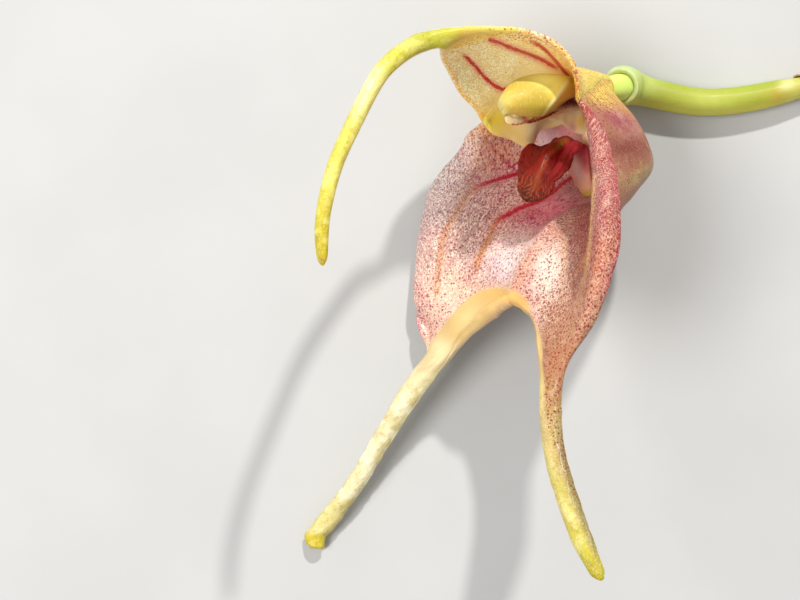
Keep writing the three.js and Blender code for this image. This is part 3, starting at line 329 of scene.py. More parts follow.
# ---------------------------------------------------------------- solids from sheets and rails
def solidify(V, F, ht, hb, rings=3, out=0.95):
    V = np.asarray(V, float); F = np.asarray(F); n = len(V); N = np.zeros((n, 3))
    q = np.cross(V[F[:, 2]] - V[F[:, 0]], V[F[:, 3]] - V[F[:, 1]])
    for i in range(4):
        np.add.at(N, F[:, i], q)
    N /= np.maximum(np.linalg.norm(N, axis=1, keepdims=True), 1e-12)
    a = F.ravel(); b = F[:, [1, 2, 3, 0]].ravel()
    bd = ~np.isin(a * n + b, b * n + a); A, B = a[bd], b[bd]
    e = V[B] - V[A]; e /= np.maximum(np.linalg.norm(e, axis=1, keepdims=True), 1e-12)
    o = np.cross(e, (N[A] + N[B]) / 2); O = np.zeros((n, 3)); np.add.at(O, A, o); np.add.at(O, B, o)
    bv = np.unique(A); idx = np.full(n, -1); idx[bv] = np.arange(len(bv)); m = len(bv)
    ob = O[bv]; ob /= np.maximum(np.linalg.norm(ob, axis=1, keepdims=True), 1e-12)
    ht = np.asarray(ht, float)[:, None]; hb = np.asarray(hb, float)[:, None]
    P = [V + N * ht, V - N * hb]; src = [np.arange(n), np.arange(n)]; lay = [np.ones(n), -np.ones(n)]
    mid = V + N * (ht - hb) / 2; hh = (ht + hb) / 2
    for k in range(rings):
        ph = math.pi / 2 - math.pi * (k + 1) / (rings + 1)
        P.append(mid[bv] + ob * hh[bv] * math.cos(ph) * out + N[bv] * hh[bv] * math.sin(ph))
        src.append(bv); lay.append(np.full(m, math.sin(ph)))
    G = [F, F[:, ::-1] + n]
    L = lambda v, k: v if k == 0 else (n + v if k == rings + 1 else 2 * n + (k - 1) * m + idx[v])
    for k in range(rings + 1):
        G.append(np.stack([L(B, k), L(A, k), L(A, k + 1), L(B, k + 1)], 1))
    return np.concatenate(P), np.concatenate(G), np.concatenate(src), np.concatenate(lay), N


def grid_faces(R, C, flip=False):
    i, j = np.meshgrid(np.arange(R - 1), np.arange(C - 1), indexing="ij")
    a = (i * C + j).ravel()
    f = np.stack([a, a + 1, a + C + 1, a + C], 1)
    return f[:, ::-1] if flip else f


def path(pts, n):
    p = np.asarray(pts, float); Q = W(p[:, :3]); k = (CAMH - p[:, 2] * MM) / CAMH
    D = np.concatenate([Q, p[:, 3:] * MM * k[:, None]], 1); t = chord(Q)
    q = nspl(t, D, np.linspace(0, t[-1], n))
    return q[:, :3], q[:, 3]


def frames(P):
    t = np.gradient(P, axis=0); t /= np.linalg.norm(t, axis=1, keepdims=True)
    u = np.cross(t[0], [0, 0, 1.0]); u /= np.linalg.norm(u); U = [u]
    for i in range(1, len(P)):
        u = U[-1] - t[i] * (U[-1] @ t[i]); U.append(u / np.linalg.norm(u))
    U = np.array(U)
    return t, U, np.cross(t, U)


def sweep(P, R, ns, radial=None, shift=None):
    """rings (len(P), ns) round a rail; radial(i, th) scales the radius. Returns vertices, quads, ring angle and ring index."""
    t, U, B = frames(P); n = len(P); th = np.linspace(0, 2 * np.pi, ns, endpoint=False)
    I, T = np.meshgrid(np.arange(n), th, indexing="ij")
    rr = np.repeat(np.asarray(R)[:, None], ns, 1)
    if radial is not None:
        rr = rr * radial(I, T)
    V = P[:, None] + U[:, None] * (np.cos(T) * rr)[..., None] + B[:, None] * (np.sin(T) * rr)[..., None]
    if shift is not None:
        V = V + t[:, None] * shift(I, T)[..., None]
    i, j = np.meshgrid(np.arange(n - 1), np.arange(ns), indexing="ij")
    a = (i * ns + j).ravel(); b = (i * ns + (j + 1) % ns).ravel()
    return V.reshape(-1, 3), np.stack([a, b, b + ns, a + ns], 1), T.ravel(), I.ravel()


def cap_fan(V, F, ring, flip):
    """closes a ring with a fan of triangles round its middle"""
    c = len(V); V = np.vstack([V, V[ring].mean(0)])
    r2 = np.roll(ring, -1)
    f = np.stack([np.full(len(ring), c), ring, r2], 1)
    return V, (f[:, ::-1] if flip else f)


# ---------------------------------------------------------------- making a piece
scene = bpy.context.scene


def attr(me, name, arr):
    arr = np.asarray(arr, np.float32)
    if name.startswith("tint"):
        a = me.attributes.new(name, "FLOAT_COLOR", "POINT")
        a.data.foreach_set("color", np.concatenate([arr, np.ones((len(arr), 1), np.float32)], 1).ravel())
    elif arr.ndim == 2:
        a = me.attributes.new(name, "FLOAT_VECTOR", "POINT"); a.data.foreach_set("vector", arr.ravel())
    else:
        a = me.attributes.new(name, "FLOAT", "POINT"); a.data.foreach_set("value", arr.ravel())


def piece(name, V, faces, mat, nodes, attrs):
    me = bpy.data.meshes.new(name)
    fl = []
    for f in faces:
        fl += np.asarray(f).tolist()
    me.from_pydata((np.asarray(V) * 0.001).tolist(), [], fl)
    me.update()
    me.shade_smooth()
    for k, a in attrs.items():
        attr(me, k, a)
    me.materials.append(mat)
    ob = bpy.data.objects.new(name, me)
    scene.collection.objects.link(ob)
    if nodes:
        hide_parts(*nodes)
    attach(ob, "root")
    return ob


# ---------------------------------------------------------------- shader helper
class Mat:
    def __init__(self, name):
        self.m = bpy.data.materials.new(name); self.m.use_nodes = True
        self.t = self.m.node_tree; self.t.nodes.clear()
        self.out = self.t.nodes.new("ShaderNodeOutputMaterial")

    def new(self, kind, **kw):
        n = self.t.nodes.new(kind)
        for k, v in kw.items():
            setattr(n, k, v)
        return n

    def put(self, sock, v):
        if isinstance(v, bpy.types.NodeSocket):
            self.t.links.new(v, sock)
        elif isinstance(v, (tuple, list, np.ndarray)) and sock.type == "RGBA" and len(v) == 3:
            sock.default_value = (*[float(x) for x in v], 1)
        else:
            sock.default_value = v

    def math(self, op, a, b=0.0, c=0.0):
        n = self.new("ShaderNodeMath", operation=op)
        for s, v in zip(n.inputs, (a, b, c)):
            self.put(s, v)
        return n.outputs[0]

    def add(self, a, b): return self.math("ADD", a, b)
    def mul(self, a, b): return self.math("MULTIPLY", a, b)
    def sub(self, a, b): return self.math("SUBTRACT", a, b)

    def step(self, x, lo, hi, a=0.0, b=1.0):
        n = self.new("ShaderNodeMapRange", interpolation_type="SMOOTHSTEP")
        for s, v in zip(n.inputs[:5], (x, lo, hi, a, b)):
            self.put(s, v)
        return n.outputs[0]

    def mix(self, f, a, b, mode="MIX"):
        n = self.new("ShaderNodeMix", data_type="RGBA", blend_type=mode)
        self.put(n.inputs[0], f); self.put(n.inputs[6], a); self.put(n.inputs[7], b)
        return n.outputs[2]

    def attr(self, name, out="Vector"):
        return self.new("ShaderNodeAttribute", attribute_name=name).outputs[out]

    def xyz(self, v):
        n = self.new("ShaderNodeSeparateXYZ"); self.put(n.inputs[0], v)
        return n.outputs

    def vec(self, x, y, z=0.0):
        n = self.new("ShaderNodeCombineXYZ")
        for s, v in zip(n.inputs, (x, y, z)):
            self.put(s, v)
        return n.outputs[0]

    def vmath(self, op, a, b):
        n = self.new("ShaderNodeVectorMath", operation=op)
        self.put(n.inputs[0], a)
        self.put(n.inputs[3 if op == "SCALE" else 1], b)
        return n.outputs[0]

    def noise(self, v, scale, detail=2.0, rough=0.5, out="Fac"):
        n = self.new("ShaderNodeTexNoise")
        self.put(n.inputs["Vector"], v); n.inputs["Scale"].default_value = scale
        n.inputs["Detail"].default_value = detail; n.inputs["Roughness"].default_value = rough
        return n.outputs[out]

    def voronoi(self, v, scale=1.0, feature="F1", rand=1.0, dims="2D"):
        n = self.new("ShaderNodeTexVoronoi", feature=feature, voronoi_dimensions=dims)
        self.put(n.inputs["Vector"], v); n.inputs["Scale"].default_value = scale
        n.inputs["Randomness"].default_value = rand
        return n.outputs

    def bump(self, h, strength, dist, normal=None):
        n = self.new("ShaderNodeBump")
        n.inputs["Strength"].default_value = strength; n.inputs["Distance"].default_value = dist
        self.put(n.inputs["Height"], h)
        if normal is not None:
            self.put(n.inputs["Normal"], normal)
        return n.outputs[0]

    def surface(self, color, rough=0.4, normal=None, sss=0.0, radius=(1, .5, .35), scale=0.0004, coat=0.0, coat_rough=0.2, spec=0.5, sheen=0.0):
        b = self.new("ShaderNodeBsdfPrincipled")
        self.put(b.inputs["Base Color"], color)
        self.put(b.inputs["Roughness"], rough)
        b.inputs["Specular IOR Level"].default_value = spec
        b.inputs["Subsurface Weight"].default_value = sss
        b.inputs["Subsurface Radius"].default_value = radius
        b.inputs["Subsurface Scale"].default_value = scale
        b.inputs["Coat Weight"].default_value = coat
        b.inputs["Coat Roughness"].default_value = coat_rough
        b.inputs["Sheen Weight"].default_value = sheen
        if normal is not None:
            self.put(b.inputs["Normal"], normal)
        self.t.links.new(b.outputs[0], self.out.inputs["Surface"])
        return self.m


def sepal_material(name, cells, dotcol, redcol, lines=1.0, sss=0.35, rough=0.42, vein=(0.7, 2.2), scale=0.0004, linecol=(246, 228, 208), stain=(196, 108, 122), coat=0.10, radius=(1.0, 0.42, 0.30)):
    """Speckled, finely netted flesh. uvm: mm across, mm along, side. msk: speckle, net, red of the veins.
    dv: distance to three veins in grid steps. ex: rim, painted silvery glints, orange of the veins."""
    m = Mat(name)
    uv = m.attr("uvm"); x, y, z = m.xyz(uv)
    sp, net, red = m.xyz(m.attr("msk"))
    dA, dB, dC = m.xyz(m.attr("dv"))
    rim, painted_glint_mask, orange = m.xyz(m.attr("ex"))
    tint = m.attr("tint", "Color")
    zo = m.mul(z, 7.7)
    wv = m.vmath("SUBTRACT", m.noise(uv, 0.9, 3.0, 0.55, "Color"), (0.5, 0.5, 0.5))
    # speckles, sown evenly through the flesh so that they never stretch
    pos = m.new("ShaderNodeTexCoord").outputs["Object"]
    v1 = m.voronoi(m.vmath("ADD", pos, m.vmath("SCALE", wv, 0.00035)), 1000.0 / cells[0], "F1", 0.88, "3D")
    cr, cg, cb = m.xyz(v1["Color"])
    rad = m.mul(m.add(0.235, m.mul(m.mul(cr, cr), 0.20)), m.add(0.6, m.mul(sp, 0.46)))
    dot = m.math("SUBTRACT", 1.0, m.step(v1["Distance"], m.mul(rad, 0.8), m.add(rad, 0.10)))
    dot = m.mul(dot, m.step(m.sub(sp, m.mul(cg, 0.9)), 0.0, 0.05))
    dot = m.mul(dot, m.add(0.72, m.mul(cb, 0.28)))
    # finer stipple between them
    v2 = m.voronoi(pos, 1000.0 / cells[1], "F1", 0.95, "3D")
    er, eg, eb = m.xyz(v2["Color"])
    fine = m.math("SUBTRACT", 1.0, m.step(v2["Distance"], 0.18, 0.42))
    fine = m.mul(m.mul(fine, m.step(m.sub(m.mul(sp, 0.8), eg), 0.0, 0.1)), 0.6)
    # wavy lengthwise lines, like a fingerprint, and short pale flecks: the cell pattern, partly painted sheen of the
    # papillae
    wav = m.math("SINE", m.mul(m.add(m.mul(x, 3.3), m.mul(m.noise(m.vec(m.mul(x, .8), m.mul(y, .55), z), 1.0, 2.5, .55), 3.6)), 6.2832))
    brk = m.step(m.noise(m.vec(m.mul(x, 1.0), m.mul(y, 0.8), z), 2.6, 2.0, .6), 0.42, 0.6)
    lin_ = m.mul(m.mul(m.mul(m.step(wav, 0.1, 0.9), brk), m.mul(net, 0.85 * lines)), m.attr("lns", "Fac"))
    fl = m.noise(m.vec(x, m.mul(y, 0.8), z), 6.8, 2.0, 0.6)
    flk = m.mul(m.step(fl, 0.505, 0.6), m.mul(net, 0.85))
    blo = m.mul(m.step(m.noise(m.vec(m.mul(x, 1.0), m.mul(y, .7), z), 2.6, 3.0, .6), 0.51, 0.58), m.attr("mag", "Fac"))
    # painted glints: near-white flecks where the silvery sheen of the margins would catch the light
    painted_glint_flecks = m.mul(m.step(m.noise(m.vec(x, m.mul(y, .8), z), 11.0, 2.0, 0.7), 0.5, 0.66), painted_glint_mask)
    blot = m.noise(uv, 0.55, 4.0, 0.65)
    col = m.mix(m.mul(m.mul(m.step(blot, 0.42, 0.66), m.step(net, 0.02, 0.12)), 0.27), tint, m.mix(1.0, tint, tuple(lin(stain)), "MULTIPLY"))
    col = m.mix(m.mul(m.step(m.noise(uv, 0.8, 3.0, 0.6), 0.5, 0.75), 0.22), col, tuple(lin((250, 226, 196))))
    pale = m.math("MAXIMUM", lin_, flk)
    col = m.mix(pale, col, tuple(lin(linecol)))
    # veins
    jig = m.mul(m.sub(m.noise(uv, 3.4, 3.0, 0.75), 0.5), 4.2)
    aA, aB, aC = [m.math("ABSOLUTE", m.add(d, jig)) for d in (dA, dB, dC)]
    near = m.math("MINIMUM", m.math("MINIMUM", aA, aB), aC)
    om = m.mul(m.math("SUBTRACT", 1.0, m.step(near, 0.8, 5.6)), orange)
    col = m.mix(m.mul(om, 0.55), col, tuple(lin((208, 146, 90))))
    ring = m.step(m.add(orange, red), 0.25, 0.7)
    vdot = m.mul(m.mul(m.math("SUBTRACT", 1.0, m.step(v2["Distance"], 0.26, 0.52)), m.math("SUBTRACT", 1.0, m.step(near, 1.0, 3.6))), m.mul(ring, 0.85))
    spots = m.math("MAXIMUM", m.math("MAXIMUM", dot, fine), vdot)
    tl = m.attr("tl", "Fac")
    tg = m.noise(pos, 2300.0, 3.0, 0.62)
    tf = m.noise(pos, 7000.0, 2.0, 0.6)
    col = m.mix(m.mul(m.mul(m.step(tg, 0.5, 0.66), 0.45), tl), col, m.mix(1.0, col, tuple(lin((214, 200, 146))), "MULTIPLY"))
    col = m.mix(m.mul(m.mul(m.step(tf, 0.52, 0.68), 0.4), tl), col, m.mix(0.45, tuple(lin((255, 250, 214))), col))
    gold = m.attr("gold", "Fac")
    gm = m.mul(m.step(m.noise(m.vec(x, m.mul(y, 0.8), z), 3.2, 4.0, 0.65), 0.45, 0.58), m.mul(gold, 0.9))
    col = m.mix(gm, col, tuple(lin((246, 218, 104))))
    gs = m.mul(m.mul(m.math("SUBTRACT", 1.0, m.step(v2["Distance"], 0.2, 0.46)), m.step(m.noise(uv, 1.5, 2.0, .5), 0.36, 0.52)), gold)
    col = m.mix(m.mul(gs, 0.85), col, tuple(lin((140, 60, 26))))
    col = m.mix(m.mul(spots, 0.92), col, m.mix(gold, tuple(lin(dotcol)), tuple(lin((140, 58, 30)))))
    nAB = m.math("MINIMUM", aA, aB)
    rm = m.mul(m.math("SUBTRACT", 1.0, m.step(m.math("MINIMUM", nAB, aC), vein[0], vein[1])), m.step(red, 0.05, 0.6))
    rm = m.mul(rm, m.step(m.noise(uv, 6.0, 2.0, .6), 0.28, 0.5, 0.6, 1.0))
    halo = m.mul(m.math("SUBTRACT", 1.0, m.step(nAB, vein[1], vein[1] + 5.0)), m.mul(red, 0.35))
    col = m.mix(halo, col, tuple(lin((204, 96, 112))))
    col = m.mix(m.mul(blo, 0.85), col, tuple(lin((176, 20, 88))))
    col = m.mix(m.mul(rm, 0.94), col, tuple(lin(redcol)))
    # the painted glints of the silvery sheen go on in near-white
    col = m.mix(painted_glint_flecks, col, tuple(lin((246, 244, 246))))
    col = m.mix(rim, col, m.attr("tint_rim", "Color"))
    # relief: papillae, net, speckles a little sunk
    pap = m.noise(m.vec(m.mul(x, 1.0), m.mul(y, 0.7), z), 8.5, 2.0, 0.6)
    h = m.add(m.add(m.mul(pap, 0.9), m.mul(pale, 0.5)), m.mul(dot, -0.35))
    h2 = m.noise(uv, 2.2, 3.0, 0.5)
    nrm = m.bump(h, 0.5, 0.00005)
    nrm = m.bump(h2, 0.5, 0.00012, nrm)
    nrm = m.bump(m.mul(m.add(tf, m.mul(tg, 1.4)), tl), 0.55, 0.00009, nrm)
    rg = m.add(rough - 0.1, m.mul(pap, 0.26))
    return m.surface(col, rg, nrm, sss=sss, radius=radius, scale=scale, coat=coat, coat_rough=0.2, spec=0.25)


def flesh_material(name, rough=0.36, sss=0.35, grain=(1.0, 0.5), bump=0.35, coat=0.2, glint=0.0, fleck=(255, 250, 225), fleck_amt=0.25, stripes=0.0, stripecol=(120, 40, 20), stripe_freq=1.9, dotcol=None, radius=(1.0, 0.55, 0.25), scale=0.0004, spec=0.3):
    """Waxy flesh coloured by the piece's own tint, with fine cells and soft mottling."""
    m = Mat(name)
    uv = m.attr("uvm"); x, y, z = m.xyz(uv)
    amt, st, dk = m.xyz(m.attr("msk"))
    tint = m.attr("tint", "Color")
    mot = m.noise(uv, 0.7, 3.0, 0.6)
    col = m.mix(m.step(mot, 0.3, 0.7, 0.0, 0.16), tint, m.mix(1.0, tint, tuple(lin((225, 200, 165))), "MULTIPLY"))
    cell = m.noise(m.vec(m.mul(x, grain[0]), m.mul(y, grain[1]), z), 6.0, 3.0, 0.65)
    f = m.mul(m.step(cell, 0.5, 0.72), m.mul(amt, fleck_amt))
    col = m.mix(f, col, tuple(lin(fleck)))
    if stripes > 0:
        wav = m.math("SINE", m.mul(m.add(m.mul(x, stripe_freq), m.mul(m.noise(m.vec(m.mul(x, .5), m.mul(y, .35), z), 1.0, 3.0, .6), 3.2)), 6.2832))
        col = m.mix(m.mul(m.mul(m.step(wav, 0.0, 0.8), st), stripes), col, tuple(lin(stripecol)))
    if dotcol is not None:
        p = m.vmath("ADD", m.vec(m.mul(x, 3.6), m.mul(y, 3.0), m.mul(z, 3.3)), m.vmath("SCALE", m.noise(uv, 1.2, 2.0, .5, "Color"), 1.5))
        v = m.voronoi(p, 1.0, "F1", 0.95, "3D")
        r_, g_, b_ = m.xyz(v["Color"])
        d = m.mul(m.math("SUBTRACT", 1.0, m.step(v["Distance"], 0.3, 0.45)), m.step(m.sub(dk, g_), 0.0, 0.08))
        col = m.mix(m.mul(d, 0.85), col, tuple(lin(dotcol)))
    h = m.add(cell, m.mul(m.noise(uv, 1.6, 3.0, .5), 1.2))
    nrm = m.bump(h, bump, 0.00008)
    if glint > 0:
        pv = m.voronoi(uv, 5.5, "F1", 0.9, "3D")
        nrm = m.bump(m.math("SUBTRACT", 1.0, pv["Distance"]), glint, 0.00006, nrm)
    return m.surface(col, m.add(rough - 0.08, m.mul(cell, 0.2)), nrm, sss=sss, radius=radius, scale=scale, coat=coat, coat_rough=0.18, spec=spec)


# ================================================================ the two joined lateral sepals
NH, NV = 78, 236
near, far = build_near(), build_far()
Pn, Pf = W(near), W(far)
vk = chord(np.concatenate([Pn, Pf], 1))
ukn = chord(np.swapaxes(Pn[2:13], 0, 1)); ukf = chord(np.swapaxes(Pf[2:13], 0, 1))
n1 = int(round(NV * vk[ARCH] / vk[-1]))
vs = np.concatenate([np.linspace(0, vk[ARCH], n1 + 1), np.linspace(vk[ARCH], vk[-1], NV - n1 + 1)[1:]])
fr = np.linspace(0, 1, NH + 1)
rod = sm((vs - vk[11]) / (vk[13] - vk[11]))[:, None]
frr = (1 - rod) * fr[None, :] + rod * (1 - np.cos(np.pi * fr[None, :])) / 2
Sn = resample(surf(near, vs, np.linspace(0, ukn[-1], 240), vk, ukn, (6, ARCH)), frr)
Sf = resample(surf(far, vs, np.linspace(0, ukf[-1], 240), vk, ukf, (6, ARCH)), frr)
R, C = Sn.shape[:2]
row = np.interp(vs, vk, np.arange(len(vk)))[:, None] * np.ones((1, C))
# the tails swell and narrow a little all the way down
for S_, seed_, amp_ in ((Sn, 4.0, 0.035), (Sf, 17.0, 0.055)):
    c_ = (S_[:, :1] + S_[:, -1:]) / 2
    w_ = vn(np.stack([vs * 1.25, vs * 0, vs * 0], -1), 1.0, seed_) + 0.6 * vn(np.stack([vs * 2.6, vs * 0, vs * 0], -1), 1.0, seed_ + 3)
    S_ += (S_ - c_) * (amp_ * w_[:, None] * step(12.6, 14.0, row))[..., None]
s_ = 2 * frr - 1


def syn_T(side, Tb=0.5):
    v = vs[:, None]; s = s_; D = Dn if side == "near" else Df
    k = sm((v - vk[10]) / (vk[13] - vk[10]))
    Tt = np.interp(vs, [vk[11], vk[13], vk[16], vk[-2], vk[-1]], [1.7, 1.75, 1.55, 1.3, 0.9] if side == "far" else [1.5, 1.5, 1.4, 1.15, 0.9])[:, None]
    Tt = np.minimum(Tt, 0.8 * D["em"][:, -1:]) * (1 + 0.05 * vn(np.stack([D["um"] * .4, D["vm"] * 1.3, D["um"] * 0 + (5 if side == "far" else 8)], -1), 1.0))
    rimT = np.interp(vs, [vk[8], vk[9], vk[10], vk[11], vk[12], vk[13]], [0, 0.12, 0.75, 1.25 if side == "far" else .7, 1.0 if side == "far" else .4, 0])[:, None]
    rimT = rimT * (1 + 0.22 * vn(np.stack([D["vm"][:, -1:] * 1.1, D["vm"][:, -1:] * 0, D["vm"][:, -1:] * 0], -1), 1.0, 2.0))
    return (1 - k) * Tb + k * np.maximum(Tt * np.sqrt(np.maximum(1 - s * s, 0)), 0.10) + rimT * np.exp(-((1 - s) / 0.2) ** 2) * (1 - k * .5)


def half_data(S, side):
    d = {}
    d["P2"] = PX(S)
    L = arc(S, 1)
    d["em"] = L                                   # mm from the free margin
    d["um"] = (L[:, -1:] - L) * (1 if side == "far" else -1)
    vcol = arc(S, 0)
    d["vm"] = vcol
    d["row"] = row; d["s"] = s_
    return d


Df, Dn = half_data(Sf, "far"), half_data(Sn, "near")
VEIN_A = [(529,170),(519,173),(500,178),(484,183),(475,187),(463,200),(455,213),(447,228),(442,243),(440,262),(438,285),(437,305),(438,330)]
VEIN_B = [(580,176),(569,181),(553,194),(539,203),(522,209),(508,216),(498,222),(492,235),(482,255),(477,270),(472,285)]
VEIN_C = [(590,195),(575,206),(560,215),(545,227),(530,241),(522,258),(514,283),(512,297)]
dA, tA = line_dist(Df["P2"], VEIN_A)
dB, tB = line_dist(Df["P2"], VEIN_B)
dC, tC = line_dist(Df["P2"], VEIN_C)
nearA = np.abs(dA) < np.abs(dB)
redA = step(76, 26, tA) * 0.9
redB = step(116, 62, tB)
red = np.where(nearA, redA, redB) * np.where(np.abs(dC) < np.minimum(np.abs(dA), np.abs(dB)), 0.0, 1.0)
orange = np.where(nearA, 1.15 * step(40, 60, tA) * step(200, 150, tA), 1.5 * step(70, 100, tB) * step(160, 138, tB))
orange = np.where(np.abs(dC) < np.minimum(np.abs(dA), np.abs(dB)), 0.35 * step(20, 60, tC), orange)

# the smooth cream band rolled round the notch
RIM = [(432,352),(440,337),(450,322),(462,307),(475,296),(488,290),(498,288),(510,290),(520,294),(530,303),(537,317),(542,331),(546,347),(549,365),(551,385)]
rF, _ = line_dist(Df["P2"], RIM)
rN, _ = line_dist(Dn["P2"], RIM)
on_far = step(8.2, 9.0, row) * step(14.6, 12.6, row)
on_near = step(9.0, 9.8, row) * step(15.5, 13.0, row)
rimF = step(-0.6, 1.2, rF) * step(8.4, 9.0, row) * step(13.4, 11.9, row)
rimN = step(-2.2, 2.6, rN) * step(9.2, 9.8, row) * step(0.35, 0.6, s_) * step(13.6, 12.2, row)

CREAM, TIPY = (222, 211, 164), (204, 188, 0)


def tail_tint(t, D, side):
    r = D["row"] + 0.15 * vn(np.stack([D["um"], D["vm"], D["um"] * 0], -1), 0.6)
    pp = np.stack([D["P2"][..., 0] * .09, D["P2"][..., 1] * .09, D["um"] * 0], -1)
    mo = vn(pp, 0.9, 3.0) + 0.6 * vn(pp, 2.1, 7.0)
    if side == "far":
        t = mixc(t, (232, 206, 150), step(11.3, 12.3, r))
        t = mixc(t, CREAM, step(12.0, 13.2, r))
        t = mixc(t, (216, 204, 128), step(15.4, 17.2, r))
        # painted shade: one flank of the far tail is darker
        t = mixc(t, (186, 168, 104), 0.6 * step(0.2, 1.0, D["s"]) * step(12.6, 14.0, r))
        t = mixc(t, (190, 178, 112), 0.4 * step(0.1, 0.7, mo) * step(12.4, 14.0, r))
        t = mixc(t, (248, 244, 214), 0.5 * step(-0.1, -0.7, mo) * step(12.4, 14.0, r) * step(17.6, 16.0, r))
        t = mixc(t, TIPY, step(17.7, 18.6, r))
    else:
        s0 = np.interp(D["P2"][..., 1], [350, 380, 394, 415, 433, 460, 490], [.55, .42, .3, .05, -.2, -.5, -1.1]) + 0.08 * mo
        inner = step(-0.3, 0.3, D["s"] - s0)
        t = mixc(t, (182, 130, 92), step(8.8, 10.8, r) * step(0.8, 0.3, D["s"]))
        t = mixc(t, (170, 118, 80), step(11.0, 12.8, r))
        t = mixc(t, (170, 136, 74), step(12.8, 14.2, r))
        t = mixc(t, (208, 188, 122), step(11.4, 13.0, r) * inner)
        st = vn(np.stack([D["um"] * 3.0, D["vm"] * 0.4, D["um"] * 0 + 2], -1), 1.0)
        t = mixc(t, (196, 182, 86), step(14.4, 16.2, r) * 0.9)
        t = mixc(t, (194, 184, 56), step(16.4, 17.8, r))
        t = mixc(t, (226, 218, 140), 0.5 * step(0.0, 0.5, st) * step(13.6, 15.0, r) * step(19.4, 18.0, r))
        t = mixc(t, (232, 224, 160), 0.4 * step(0.1, 0.7, mo) * step(13.6, 15.0, r) * step(19.0, 17.6, r))
        # painted shade: the right flank of the near tail is darker, most of all at its edge
        t = mixc(t, (168, 150, 66), 0.5 * step(0.2, -0.8, D["s"]) * step(14.0, 16.0, r))
        t = mixc(t, (166, 132, 72), 0.4 * step(-0.1, -0.6, st) * step(12.6, 14.0, r) * step(17.6, 16.2, r))
        # painted shade on the right edge of the near tail
        t = mixc(t, (112, 96, 50), 0.6 * step(-0.35, -0.85, D["s"]) * step(13.6, 15.2, r) * step(19.0, 17.6, r))
        t = mixc(t, (176, 164, 0), step(17.6, 19.2, r))
    return t


